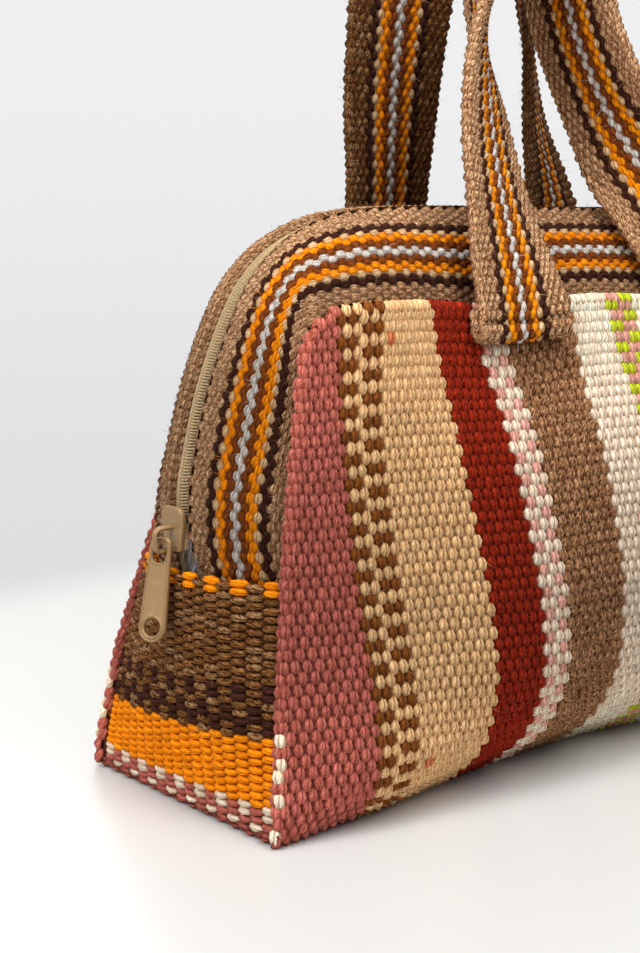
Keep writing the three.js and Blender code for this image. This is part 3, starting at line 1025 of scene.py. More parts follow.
@dataclass(frozen=True)
class FibreShape:
    """Unit shape of a stray fibre: a thin bowed ribbon that narrows to its tip."""

    places: Numbers = (0, 0.35, 0.7, 1)
    bow: Numbers = (0, 0.7, 0.9, 0.5)
    widths: Numbers = (1, 0.9, 0.7, 0.2)
    lit_place: Pair = (0.5, 0.3)

    def build(self, name: str) -> Object:
        """Builds the shape under a name."""
        points = [(x, s * w / 2, z) for x, w, z in zip(self.places, self.widths, self.bow) for s in (-1, 1)]
        return unit_shape(name, points, grid_faces(len(self.places), 2), [self.lit_place] * len(points))


def show(name: str, data: ID) -> Object:
    """Puts a mesh, a curve, a light or a camera in the scene as an object at the origin."""
    piece = bpy.data.objects.new(name, data)
    bpy.context.scene.collection.objects.link(piece)
    return piece


def baked(source: Object, name: str) -> Object:
    """Turns an object with live modifiers into a plain mesh piece and removes it.

    Args:
        source: The object.
        name: Name of the plain piece.

    Returns:
        The plain piece.
    """
    depsgraph = bpy.context.evaluated_depsgraph_get()
    mesh = bpy.data.meshes.new_from_object(source.evaluated_get(depsgraph), depsgraph=depsgraph)
    mesh.name = name
    bpy.data.objects.remove(source)
    return show(name, mesh)


def store(mesh: Mesh, name: str, kind: str, field_name: str, values: Array) -> None:
    """Keeps a value, one row of an array, for each point of a mesh."""
    mesh.attributes.new(name, kind, "POINT").data.foreach_set(field_name, values.ravel())


@dataclass
class Weaver:
    """Turns layouts into meshes with the float tree."""

    tree: FloatTree
    shape: Object
    plain: Object
    oval: Object
    fibre: Object
    lots: float = 50.0

    def build(self, name: str, layout: Layout, finish: Material, seed: int = SEED,
              shape: Object | None = None, turn: float = FLOAT_TURN) -> Object:
        """Builds one piece of yarn floats.

        Args:
            name: The piece's name.
            layout: Where its floats lie, in millimetres.
            finish: The material.
            seed: Start of the tree's chance.
            shape: A shape other than the usual float.
            turn: How far a float may turn, in radians.

        Returns:
            The piece.
        """
        count = len(layout.place)
        mesh = bpy.data.meshes.new(f"{name}_points")
        mesh.from_pydata((layout.place * MM).tolist(), [], [])
        vectors = {"along": layout.along, "up": layout.up, "size": layout.size * MM}
        for label, values in vectors.items():
            store(mesh, label, "FLOAT_VECTOR", "vector", values)
        store(mesh, YARN_ATTRIBUTE, "FLOAT_COLOR", "color", layout.yarn)
        store(mesh, LOT_ATTRIBUTE, "FLOAT", "value", np.random.default_rng(seed).random(count) * self.lots)
        source = show(f"{name}_source", mesh)
        modifier = source.modifiers.new("floats", "NODES")
        modifier.node_group = self.tree.tree
        modifier[self.tree.shape] = shape or self.shape
        modifier[self.tree.finish] = finish
        modifier[self.tree.turn_chance] = turn
        modifier[self.tree.seed] = seed
        piece = baked(source, name)
        for label in vectors:
            if label in piece.data.attributes:
                piece.data.attributes.remove(piece.data.attributes[label])
        LOG.info("%s: %d floats, %d triangles", name, count, triangles(piece))
        return piece

    def clear(self) -> None:
        """Removes the unit shapes once everything is woven."""
        for shape in (self.shape, self.plain, self.oval, self.fibre):
            bpy.data.objects.remove(shape)


def triangles(piece: Object) -> int:
    """Counts a piece's triangles."""
    return sum(len(polygon.vertices) - 2 for polygon in piece.data.polygons)


def turn_outwards(mesh: Mesh) -> None:
    """Turns a closed mesh's faces outwards."""
    turned = bmesh.new()
    turned.from_mesh(mesh)
    bmesh.ops.recalc_face_normals(turned, faces=turned.faces)
    turned.to_mesh(mesh)
    turned.free()


def mesh_piece(name: str, points: Array, faces: Sequence[Sequence[int]], finish: Material,
               colours: Array | None = None) -> Object:
    """Builds a piece from points in millimetres, with its faces turned outwards and shaded smooth.

    Args:
        name: The piece's name.
        points: Its points.
        faces: Point numbers of each face.
        finish: Its material.
        colours: A colour for each point, if the material reads one.

    Returns:
        The piece.
    """
    mesh = bpy.data.meshes.new(name)
    mesh.from_pydata((np.asarray(points) * MM).tolist(), [], [list(map(int, face)) for face in faces])
    if colours is not None:
        store(mesh, YARN_ATTRIBUTE, "FLOAT_COLOR", "color", colours)
    turn_outwards(mesh)
    mesh.shade_smooth()
    mesh.materials.append(finish)
    return show(name, mesh)


def grid_faces(rows: int, columns: int, start: int = 0, closed: bool = False) -> list[tuple[int, ...]]:
    """Lists the quads of a grid of points, each row of which may close on itself."""
    last = columns if closed else columns - 1
    return [(start + i * columns + j, start + i * columns + (j + 1) % columns,
             start + (i + 1) * columns + (j + 1) % columns, start + (i + 1) * columns + j)
            for i in range(rows - 1) for j in range(last)]


def shell_faces(rows: int, columns: int) -> list[tuple[int, ...]]:
    """Lists the faces of a closed shell between two grids of points, one listed after the other.

    Args:
        rows: Number of rows of each grid.
        columns: Number of columns.

    Returns:
        The faces.
    """
    count = rows * columns
    rim = ([i * columns for i in range(rows)] + [(rows - 1) * columns + j for j in range(1, columns)]
           + [i * columns + columns - 1 for i in range(rows - 2, -1, -1)] + list(range(columns - 2, 0, -1)))
    edge = [(a, b, b + count, a + count) for a, b in zip(rim, rim[1:] + rim[:1])]
    return grid_faces(rows, columns) + grid_faces(rows, columns, count) + edge


def rod_faces(rings: int, sides: int, closed: bool = False) -> list[tuple[int, ...]]:
    """Lists the faces of a rod made of rings of points.

    Args:
        rings: Number of rings.
        sides: Number of points of each.
        closed: Whether the last ring joins the first, without flat ends.

    Returns:
        The faces.
    """
    last = (rings - 1) * sides
    if closed:
        ends = [(last + j, last + (j + 1) % sides, (j + 1) % sides, j) for j in range(sides)]
    else:
        ends = [tuple(range(sides)), tuple(range(last, last + sides))]
    return grid_faces(rings, sides, closed=True) + ends


def cloth_wall(name: str, face: Face, across: Array, along: Array, colours: Array, finish: Material,
               outer: float = -0.85, inner: float = -2.6) -> Object:
    """Builds the closed ground of a cloth, under its floats.

    Args:
        name: The piece's name.
        face: What the cloth lies on.
        across: Places across, one for each column.
        along: Places along, one row of them for each column.
        colours: A colour for each column.
        finish: The material.
        outer: Height of its outer face above the cloth's face.
        inner: Height of its inner face.

    Returns:
        The piece.
    """
    columns, rows = along.shape
    wide = np.broadcast_to(across.reshape(columns, -1), along.shape)
    place, _, up = frames(face, wide, along)
    points = np.concatenate([(place + up * depth).reshape(-1, 3) for depth in (outer, inner)])
    shade = np.repeat(colours, rows, axis=0)
    return mesh_piece(name, points, shell_faces(columns, rows), finish, np.concatenate([shade, shade]))


# Finishes


def fresh_material(name: str) -> tuple[Material, NodeBench, Node]:
    """Starts a material with its main shader.

    Args:
        name: The material's name.

    Returns:
        The material, a bench on its nodes and the shader.
    """
    material = bpy.data.materials.new(name)
    material.use_nodes = True
    material.node_tree.nodes.clear()
    bench = NodeBench(material.node_tree)
    shader = bench.add("ShaderNodeBsdfPrincipled")
    bench.add("ShaderNodeOutputMaterial", {"Surface": shader.outputs[0]})
    return material, bench, shader


@dataclass(frozen=True)
class PliedYarn:
    """Shader group of a two-ply yarn float: its fibres and mottling, its crease as a bump, and painted shade,
    warmer where darker, in its crease, on its flanks and at its ends.
    """

    lean: float = 0.18
    cleft: Pair = (0.02, 0.22)
    flank_from: float = 0.55
    ends_from: float = 0.62
    strand: Triple = (1.7, 15.0, 0.22)
    strand_tone: Pair = (0.62, 1.2)
    mottle: Triple = (5.0, 10.0, 0.3)
    mottle_lot: float = 1.7
    detail: float = 3.0
    # Powers of the darkening for red, green and blue, which turn the painted shade warmer.
    shade_warmth: Triple = (0.85, 1.15, 1.45)
    relief: Pair = (0.8, 0.9)
    roughness: Pair = (0.95, 0.8)

    def build(self) -> NodeTree:
        """Builds the group."""
        tree = bpy.data.node_groups.new("plied_yarn", "ShaderNodeTree")
        for name, kind, default in (
                ("Yarn", "Color", (0.5, 0.5, 0.5, 1)), ("Heather", "Float", 0.2), ("Lot", "Float", 0.0),
                ("Place", "Vector", None), ("Flank", "Float", 0.5), ("Twist", "Float", 1.4),
                ("Crease", "Float", 0.5)):
            socket(tree, name, kind, default=default)
        for name, kind in (("Colour", "Color"), ("Roughness", "Float"), ("Height", "Float")):
            socket(tree, name, kind, "OUTPUT")
        bench = NodeBench(tree)
        given = bench.add("NodeGroupInput").outputs
        uv = bench.parts(given["Place"])
        slant = bench.product(uv["X"], given["Twist"])

        def streaks(size: Triple, lot: object) -> NodeSocket:
            """Lays noise that follows the yarn's twist, sized along and across it, with a drift."""
            along, across, drift = size
            run = bench.math("ADD", uv["Y"], bench.product(slant, drift))
            place = bench.vector(bench.product(uv["X"], along), bench.product(run, across), lot)
            return bench.noise(place, 1.0, self.detail)

        lean = bench.product(bench.math("SUBTRACT", uv["X"], 0.5), bench.product(given["Twist"], self.lean))
        side = bench.off_middle(bench.math("ADD", uv["Y"], lean))
        edge, tip = bench.off_middle(uv["Y"]), bench.off_middle(uv["X"])
        # Painted shade: the ply crease, the flanks and the ends of each float are darkened in its colour; the
        # crease also shapes the bump.
        crease = bench.less(bench.ramp(side, *self.cleft, 1.0, 0.0), given["Crease"])
        flank = bench.less(given["Flank"], bench.ramp(edge, self.flank_from, 1.0, 0.0, 1.0))
        ends = bench.less(given["Flank"], bench.ramp(tip, self.ends_from, 1.0, 0.0, 1.0))
        strand = streaks(self.strand, given["Lot"])
        mottle = streaks(self.mottle, bench.product(given["Lot"], self.mottle_lot))
        spread = bench.product(bench.ramp(mottle, 0.3, 0.7, -1.0, 1.0), given["Heather"])
        tone = bench.product(crease, flank, ends, bench.ramp(strand, 0.25, 0.75, *self.strand_tone),
                             bench.math("ADD", 1.0, spread))
        # Painted shade turns warmer: where the colour is darkened, blue falls fastest and red slowest.
        warm = bench.vector(*(bench.math("POWER", tone, power) for power in self.shade_warmth))
        colour = bench.add("ShaderNodeVectorMath", {0: given["Yarn"], 1: warm}, operation="MULTIPLY")
        height = bench.math("ADD", *(bench.product(*pair) for pair in zip((crease, strand), self.relief)))
        bench.add("NodeGroupOutput", {"Colour": colour.outputs[0], "Height": height,
                                      "Roughness": bench.ramp(strand, 0.2, 0.8, *self.roughness)})
        return tree


@dataclass(frozen=True)
class WoolFinish:
    """Finish of plied wool floats."""

    name: str
    # Painted shade: the flank value darkens each float's flanks and ends, and the crease value its ply
    # crease, where it also deepens the bump.
    flank: float = 0.62
    twist: float = 1.4
    crease: float = 0.5
    sheen: float = 0.02
    sheen_roughness: float = 0.5
    specular: float = 0.03
    bump: float = 0.8
    relief: float = 0.0005

    def build(self, group: NodeTree) -> Material:
        """Builds the material from the shared yarn effect."""
        material, bench, shader = fresh_material(self.name)
        yarn = bench.attribute(YARN_ATTRIBUTE)
        lot = bench.attribute(LOT_ATTRIBUTE)["Fac"]
        place = bench.float_place()
        effect = bench.add("ShaderNodeGroup", {
            "Yarn": yarn["Color"], "Heather": yarn["Alpha"], "Lot": lot, "Place": place, "Flank": self.flank,
            "Twist": self.twist, "Crease": self.crease}, node_tree=group).outputs
        bench.feed(shader, {
            "Base Color": effect["Colour"], "Roughness": effect["Roughness"],
            "Normal": bench.bump(effect["Height"], self.bump, self.relief), "Sheen Weight": self.sheen,
            "Sheen Roughness": self.sheen_roughness, "Specular IOR Level": self.specular})
        return material


@dataclass(frozen=True)
class GroundFinish:
    """Finish of a cloth's ground: its yarns' colours in the shade between the floats."""

    grain_scale: float = 900.0
    tone: Pair = (0.24, 0.5)
    bump: float = 0.6
    relief: float = 0.0005
    roughness: float = 0.95
    specular: float = 0.1

    def build(self) -> Material:
        """Builds the material."""
        material, bench, shader = fresh_material("wool_ground")
        yarn = bench.attribute(YARN_ATTRIBUTE)["Color"]
        grain = bench.noise(bench.place(), self.grain_scale, 3.0)
        bench.feed(shader, {
            "Base Color": bench.scaled(yarn, bench.ramp(grain, 0.25, 0.75, *self.tone)),
            "Normal": bench.bump(grain, self.bump, self.relief), "Roughness": self.roughness,
            "Specular IOR Level": self.specular})
        return material


@dataclass(frozen=True)
class PaintFinish:
    """Finish of the slider and pull: worn satin paint with fine scuffs."""

    colour: Colour = (143, 112, 71)
    worn: Colour = (164, 134, 92)
    scuff_scale: float = 260.0
    scuff: Quad = (0.52, 0.72, 0.0, 0.6)
    roughness: Pair = (0.34, 0.5)
    grain_scale: float = 2600.0
    bump: float = 0.12
    relief: float = 0.0001
    metallic: float = 0.15
    coat: float = 0.1
    coat_roughness: float = 0.3

    def build(self) -> Material:
        """Builds the material."""
        material, bench, shader = fresh_material("slider_paint")
        place = bench.place()
        cloud = bench.noise(place, self.scuff_scale, 4.0)
        grain = bench.noise(place, self.grain_scale, 2.0)
        bench.feed(shader, {
            "Base Color": bench.blend(bench.ramp(cloud, *self.scuff), self.colour, self.worn),
            "Roughness": bench.ramp(cloud, 0.3, 0.7, *self.roughness),
            "Normal": bench.bump(grain, self.bump, self.relief), "Metallic": self.metallic,
            "Coat Weight": self.coat, "Coat Roughness": self.coat_roughness})
        return material


@dataclass(frozen=True)
class CoilFinish:
    """Finish of the nylon coil: the colour of each tooth, shaded at its edges, under a soft gloss."""

    edge: Quad = (0.4, 1.0, 1.0, 0.5)
    tip: Quad = (0.45, 0.95, 1.0, 0.4)
    roughness: float = 0.42

    def build(self) -> Material:
        """Builds the material."""
        material, bench, shader = fresh_material("zip_nylon")
        yarn = bench.attribute(YARN_ATTRIBUTE)["Color"]
        uv = bench.parts(bench.float_place())
        tone = bench.product(bench.ramp(bench.off_middle(uv["Y"]), *self.edge),
                             bench.ramp(bench.off_middle(uv["X"]), *self.tip))
        bench.feed(shader, {"Base Color": bench.scaled(yarn, tone), "Roughness": self.roughness})
        return material


@dataclass(frozen=True)
class TapeFinish:
    """Finish of the zip's fine woven tape, ribbed along its length."""

    colour: Colour = (178, 152, 112)
    rib_scale: float = 420.0
    rib_wander: float = 1.2
    rib_tone: Pair = (0.7, 1.05)
    grain_scale: float = 1800.0
    grain_tone: Pair = (0.8, 1.1)
    bump: float = 0.5
    relief: float = 0.0003
    roughness: float = 0.85

    def build(self) -> Material:
        """Builds the material."""
        material, bench, shader = fresh_material("zip_tape_weave")
        place = bench.place()
        rib = bench.add("ShaderNodeTexWave", {
            "Vector": place, "Scale": self.rib_scale, "Distortion": self.rib_wander, "Detail": 2.0},
            bands_direction="Y").outputs["Fac"]
        grain = bench.noise(place, self.grain_scale, 2.0)
        tone = bench.product(bench.ramp(rib, 0.0, 1.0, *self.rib_tone),
                             bench.ramp(grain, 0.2, 0.8, *self.grain_tone))
        bench.feed(shader, {
            "Base Color": bench.scaled(linear(self.colour), tone),
            "Normal": bench.bump(rib, self.bump, self.relief), "Roughness": self.roughness})
        return material


# Pieces


def shades(chart: Sequence[Yarn]) -> Array:
    """Gives a chart's plain colours, one row for each warp."""
    return np.array([(*linear(yarn.value.colour), 1.0) for yarn in chart])


def placed(piece: Object, node: str | None = None, body: str = BAG) -> None:
    """Says what a piece rides on and the node that it replaces.

    Args:
        piece: The piece.
        node: The node, if it replaces one.
        body: The body that it rides on.
    """
    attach(piece, body)
    if node is not None:
        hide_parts(node)


@dataclass
class Dresser:
    """Holds what the sub-assemblies share: the loom, the weaver and the finishes."""

    loom: Loom
    weaver: Weaver
    striped: Material
    ends: Material
    strap: Material
    ground: Material
    tape: Material
    coil: Material
    paint: Material
    fibre_length: float = 2.3
    fibre_width: float = 0.06
    fibre_turn: float = 0.5

    def dress(self, node: str, ground: Object, yarns: Sequence[Object]) -> None:
        """Puts a cloth's ground and yarns in a node's place.

        Args:
            node: The node that they replace.
            ground: The cloth's ground.
            yarns: The yarn floats and stray fibres on it.
        """
        placed(ground, node)
        for piece in yarns:
            placed(piece)
        list(yarns)

    def yarns(self, node: str, layout: Layout, finish: Material, seed: int,
              shape: Object | None = None, stray: float = 0.8) -> list[Object]:
        """Builds a cloth's floats and the stray fibres on them.

        Args:
            node: The node that they dress.
            layout: Where the floats lie.
            finish: Their material.
            seed: Start of the tree's chance.
            shape: A shape other than the usual float.
            stray: Number of stray fibres for each float.

        Returns:
            The pieces.
        """
        pieces = [self.weaver.build(f"{node}_floats", layout, finish, seed, shape)]
        if stray:
            fibres = self.loom.stray(layout, stray, self.fibre_length, self.fibre_width)
            pieces.append(self.weaver.build(f"{node}_fibres", fibres, finish, seed + 1, self.weaver.fibre,
                                            self.fibre_turn))
        return pieces


class Assembly(Protocol):
    """A sub-assembly of the bag."""

    def build(self, dresser: Dresser) -> None:
        """Builds the sub-assembly's pieces and puts them in their nodes' places.

        Args:
            dresser: What the sub-assemblies share.
        """


@dataclass(frozen=True)
class Panel:
    """One panel of the striped cloth: its picks, the first one's number, its run and its filled share."""

    node: str
    picks: Array
    first: int
    run: float
    share: float


@dataclass
class StripedCloth(Assembly):
    """The striped cloth that makes the front, the base and the back."""

    gauge: Gauge = BODY_GAUGE
    length: float = 254.0
    panel_run: float = 136.0
    base_run: float = 104.0
    front_share: float = 0.95
    back_share: float = 0.9
    extra_warps: int = 4
    front_picks: int = 42
    base_picks: int = 32
    rim_picks: int = 2
    fold_reach: float = 4.4
    base_reach: float = 0.3
    turn_reach: float = 3.2
    turn_level: float = 7.85
    rim_reach: float = -0.8
    stitch_height: float = 27.0
    stitch_past: float = 0.9
    floor_clear: float = 1.95
    # Painted light and shade: the cloth's yarn colours are scaled by these tones by height, lighter near the
    # floor and the rim and darker in between.
    painted_light_heights: Numbers = (5, 15, 35, 50, 80, 110, 130)
    painted_light_tones: Numbers = (1.35, 1.28, 0.92, 0.8, 0.93, 1.25, 1.35)
    stray: float = 1.2
    ground_rows: int = 40
    ground_inset: float = 0.3
    face: ClothFace = field(default_factory=ClothFace)
    warps: Array = field(init=False, repr=False)
    chart: list[Yarn] = field(init=False, repr=False)

    def __post_init__(self) -> None:
        """Works out the places and yarns of the warps."""
        half = round(self.length / 2 / self.gauge.warp) + self.extra_warps
        self.warps = (np.arange(2 * half) - half + 0.5) * self.gauge.warp
        self.chart = body_chart()[:2 * half]

    def build(self, dresser: Dresser) -> None:
        """Builds and dresses the three panels."""
        face, warps = self.face, self.warps
        rise = BODY.height[0] - BODY.height[1]
        top, hem = KEEL - RIM, KEEL - HEM
        over = top + (np.arange(self.rim_picks) + 0.5) * self.gauge.pick / rise
        rim = np.tile(over, (len(warps), 1))
        front = np.concatenate([-rim[:, ::-1], face.runs(warps, -top, -hem, self.front_picks)], axis=1)
        base = face.runs(warps, -hem, hem, self.base_picks)
        back = np.concatenate([face.runs(warps, hem, top, self.front_picks), rim], axis=1)
        turn, end = front.shape[1], front.shape[1] + base.shape[1]
        for panel in (Panel("front_panel", front, 0, self.panel_run, self.front_share),
                      Panel("base_panel", base, turn, self.base_run, 1),
                      Panel("back_panel", back, end, self.panel_run, self.back_share)):
            yarns, ground = self.yarns(dresser, panel), self.ground(dresser, panel)
            dresser.dress(panel.node, ground, yarns)

    def yarns(self, dresser: Dresser, panel: Panel) -> list[Object]:
        """Lays one panel's floats and stray fibres.

        Args:
            dresser: What the sub-assemblies share.
            panel: The panel.

        Returns:
            The pieces.
        """
        picks, first = panel.picks, panel.first
        past = self.face.past_end(np.broadcast_to(self.warps[:, None], picks.shape), picks)
        level = KEEL - np.abs(picks)
        base, reach = panel.node == "base_panel", self.fold_reach
        if base:
            reach = np.where(level > self.turn_level, self.base_reach, self.turn_reach)
        keep = (past < reach) & ((level > RIM) | (past < self.rim_reach))
        layout = dresser.loom.weave(self.face, self.warps, picks, self.chart, self.gauge, first, keep)
        layout.place[:, 2] = np.maximum(layout.place[:, 2], self.floor_clear)
        past = past[Loom.shown(picks.shape, first, keep)]
        sewn = np.abs(past - self.stitch_past) < self.gauge.warp / 2
        sewn &= layout.place[:, 2] < self.stitch_height
        if sewn.any():
            layout.yarn[sewn] = dresser.loom.colours([Yarn.WHITE] * int(sewn.sum()))
        # Painted light and shade on the floats' colours, by height.
        layout.fade(self.painted_light_heights, self.painted_light_tones)
        shape = dresser.weaver.plain if base else None
        stray = 0 if base else self.stray
        return dresser.yarns(panel.node, layout, dresser.striped, SEED + first, shape, stray)

    def ground(self, dresser: Dresser, panel: Panel) -> Object:
        """Builds one panel's ground, which follows the end seams.

        Args:
            dresser: What the sub-assemblies share.
            panel: The panel.

        Returns:
            The piece.
        """
        low, high = max(panel.picks.min(), RIM - KEEL), min(panel.picks.max(), KEEL - RIM)
        along = np.linspace(low, high, self.ground_rows)
        half = self.face.half(np.clip(KEEL - np.abs(along), RIM, KEEL), np.where(along < 0, FRONT, BACK))
        columns = np.linspace(-1, 1, len(self.warps))[:, None] * (half - self.ground_inset)[None, :]
        nearest = np.abs(columns.mean(axis=1)[:, None] - self.warps[None, :]).argmin(axis=1)
        colours = shades([self.chart[i] for i in nearest])
        rows = np.broadcast_to(along, columns.shape)
        return cloth_wall(f"{panel.node}_ground", self.face, columns, rows, colours, dresser.ground)


@dataclass
class EndGusset(Assembly):
    """One woven end, which bulges between the panels and stops below the zip's end."""

    node: str
    end: float
    gauge: Gauge = GUSSET_GAUGE
    width: float = 78.0
    foot: float = 1.3
    over: int = 1
    sag: float = 5.0
    stray: float = 2.0
    ground_reach: float = 0.99
    ground_columns: int = 25
    seed: int = SEED + 5

    def build(self, dresser: Dresser) -> None:
        """Builds and dresses the gusset, whose rows sag towards the back."""
        face = GussetFace(self.end)
        chart = gusset_chart()
        span = face.top - self.foot
        pitch = span / (len(chart) - self.over)
        heights = face.top + (self.over - 0.5 - np.arange(len(chart))) * pitch
        count = round(self.width / self.gauge.pick)
        along = (np.arange(count) + 0.5) / count * 2 - 1
        picks = np.tile(along, (len(heights), 1))
        slack = np.sin(np.clip((heights - self.foot) / span, 0, 1) * math.pi)
        sunk = heights[:, None] - self.sag * np.outer(slack, (along + 1) / 2)
        layout = dresser.loom.weave(face, sunk, picks, chart, self.gauge)
        yarns = dresser.yarns(self.node, layout, dresser.ends, self.seed, dresser.weaver.oval, self.stray)
        low = np.linspace(self.foot, face.top, len(chart))
        reach = np.linspace(-self.ground_reach, self.ground_reach, self.ground_columns)
        rows = np.tile(reach, (len(low), 1))
        ground = cloth_wall(f"{self.node}_ground", face, low, rows, shades(chart[::-1]), dresser.ground)
        dresser.dress(self.node, ground, yarns)


@dataclass
class ZipBand(Assembly):
    """The strap sewn in beside the zip, up both ends and along the top."""

    node: str
    side: float
    gauge: Gauge = STRAP_GAUGE
    inset: float = 0.15
    samples: int = 25
    edge_warps: int = 6
    edge_rows: tuple[Pair, ...] = ((0.45, 0.0), (-0.25, 1.2))
    edge_out: float = 0.2
    # Painted shade: the band's yarn colours are scaled by these tones by height, darker low on the bag's
    # ends.
    painted_light_heights: Numbers = (112, 142)
    painted_light_tones: Numbers = (0.68, 1.0)
    ground_inset: float = 0.02
    ground_rows: int = 120
    ground_edge: float = 0.985
    ground_depths: Pair = (-0.75, -2.4)
    seed: int = SEED + 11

    def build(self, dresser: Dresser) -> None:
        """Builds and dresses the band."""
        face = BandFace(self.side)
        chart = strap_chart(self.edge_warps)
        along = ZIP.places(self.inset, ZIP.end - self.inset, self.gauge.pick)
        wide, run = np.meshgrid(np.linspace(0, 1, self.samples), along, indexing="ij")
        width = np.linalg.norm(np.diff(face.points(wide, run), axis=0), axis=-1).sum(axis=0)
        pitch = np.maximum(self.gauge.warp, width / len(chart))
        across = 1 - (np.arange(len(chart))[:, None] + 0.5) * pitch / width
        layout = self.lay(dresser, face, across, np.tile(along, (len(chart), 1)), chart)
        # Painted shade on the band's floats, darker lower down.
        layout.fade(self.painted_light_heights, self.painted_light_tones)
        yarns = dresser.yarns(self.node, layout, dresser.strap, self.seed, dresser.weaver.plain)
        places = np.linspace(self.ground_inset, ZIP.end - self.ground_inset, self.ground_rows)
        ground = cloth_wall(f"{self.node}_ground", face, np.linspace(0, self.ground_edge, len(chart)),
                            np.tile(places, (len(chart), 1)), shades(chart[::-1]), dresser.ground,
                            *self.ground_depths)
        dresser.dress(self.node, ground, yarns)

    def lay(self, dresser: Dresser, face: BandFace, across: Array, picks: Array, chart: list[Yarn]) -> Layout:
        """Lays the band's floats, with the last rows rolled over its edge beside the zip.

        Args:
            dresser: What the sub-assemblies share.
            face: What the strap lies on.
            across: Places of the floats across the strap, those under 0 being left out.
            picks: Places along it.
            chart: Yarn of each warp.

        Returns:
            The layout.
        """
        layout = dresser.loom.weave(face, across, picks, chart, self.gauge, 0, across > 0.0)
        inward = np.array([0, -self.side, 0])
        edge_places, edge_chart = np.ones((2, picks.shape[1])), [Yarn.OAT] * 2
        for first, (tilt, depth) in enumerate(self.edge_rows, start=1):
            edge = dresser.loom.weave(face, edge_places, picks[:2], edge_chart, self.gauge, first)
            edge.place = edge.place + inward * self.edge_out - edge.up * depth
            edge.up = unit(edge.up * tilt + inward)
            layout = layout.plus(edge)
        return layout


FRONT_STRAP = StrapFace(
    side=FRONT,
    feet=(-34.5, 40),
    rows=(
        StrapRow(-34.5, -28.0, 138, 3),
        StrapRow(-34.5, -21.0, 158, 18),
        StrapRow(-31.5, -12.0, 184, 30),
        StrapRow(-26.5, -4.5, 210, 54),
        StrapRow(-18.0, -2.0, 229, 76),
        StrapRow(-6.0, -2.0, 235, 90),
        StrapRow(4.0, -5.5, 226, 95),
        StrapRow(7.0, -7.5, 210, 94),
        StrapRow(15.0, -12.0, 188, 98),
        StrapRow(30.0, -22.5, 158, 160),
        StrapRow(39.0, -28.0, 138, 175),
    ),
)
BACK_STRAP = StrapFace(
    side=BACK,
    feet=(-41, 33),
    rows=(
        StrapRow(-41.0, 22.0, 138, 6),
        StrapRow(-40.0, 20.0, 158, 6),
        StrapRow(-40.0, 18.5, 184, -4),
        StrapRow(-38.0, 17.0, 214, -14),
        StrapRow(-30.5, 17.5, 240, -48),
        StrapRow(-7.0, 19.0, 256, -90),
        StrapRow(15.0, 24.0, 240, -120),
        StrapRow(21.0, 26.0, 214, -132),
        StrapRow(24.5, 26.0, 186, -142),
        StrapRow(31.0, 24.0, 158, -162),
        StrapRow(33.0, 22.0, 138, -176),
    ),
)


@dataclass
class StrapHandle(Assembly):
    """One handle: a woven strap whose ends are folded under and sewn on a panel."""

    node: str
    face: StrapFace
    gauge: Gauge = STRAP_GAUGE
    border: Yarn = Yarn.OAT
    # Painted light and shade: every yarn colour of a handle is scaled by this tone, the default lightening
    # the front handle.
    tone: float = 1.15
    edge_warps: int = 5
    side_warps: int = 4
    samples: int = 1200
    ground_inset: float = 0.4
    ground_rows: int = 260
    ground_depth: float = 0.7
    crease_depth: float = 0.6
    seed: int = SEED + 17

    def build(self, dresser: Dresser) -> None:
        """Builds and dresses the handle."""
        face = self.face
        outer = strap_chart(self.edge_warps, self.border)
        side = [self.border] * self.side_warps
        chart = outer + side + outer[::-1] + side
        flat, bend = face.flat_width, math.pi * STRAP / 2
        stretches = ((0, outer, flat), (flat, side, bend), (flat + bend, outer, flat),
                     (2 * flat + bend, side, bend))
        span = np.concatenate([start + (np.arange(len(yarns)) + 0.5) / len(yarns) * length
                               for start, yarns, length in stretches])
        warps = span - flat / 2
        fine = np.linspace(0, face.length[-1], self.samples)
        run = run_lengths(face.points(np.zeros_like(fine), fine))
        picks = middles(round(run[-1] / self.gauge.pick), run, fine)
        layout = dresser.loom.weave(face, warps, np.tile(picks, (len(chart), 1)), chart, self.gauge)
        # Painted light and shade: the handle's yarn colours scaled by one tone all along.
        layout.fade((0.0,), (self.tone,))
        yarns = dresser.yarns(self.node, layout, dresser.strap, self.seed, dresser.weaver.plain)
        ground = self.ground(dresser, warps[::2], chart[::2])
        dresser.dress(self.node, ground, yarns)

    def ground(self, dresser: Dresser, warps: Array, chart: Sequence[Yarn]) -> Object:
        """Builds the strap's ground as a closed flat tube.

        Args:
            dresser: What the sub-assemblies share.
            warps: Places round the section.
            chart: Yarn at each place.

        Returns:
            The piece.
        """
        along = np.linspace(self.ground_inset, self.face.length[-1] - self.ground_inset, self.ground_rows)
        wide, run = np.meshgrid(warps, along)
        place, _, up = frames(self.face, wide, run)
        depth = self.ground_depth + self.crease_depth * self.face.crease(run)
        points = (place - up * depth[..., None]).reshape(-1, 3)
        colours = np.tile(shades(chart), (len(along), 1))
        faces = rod_faces(len(along), len(warps))
        return mesh_piece(f"{self.node}_ground", points, faces, dresser.ground, colours)


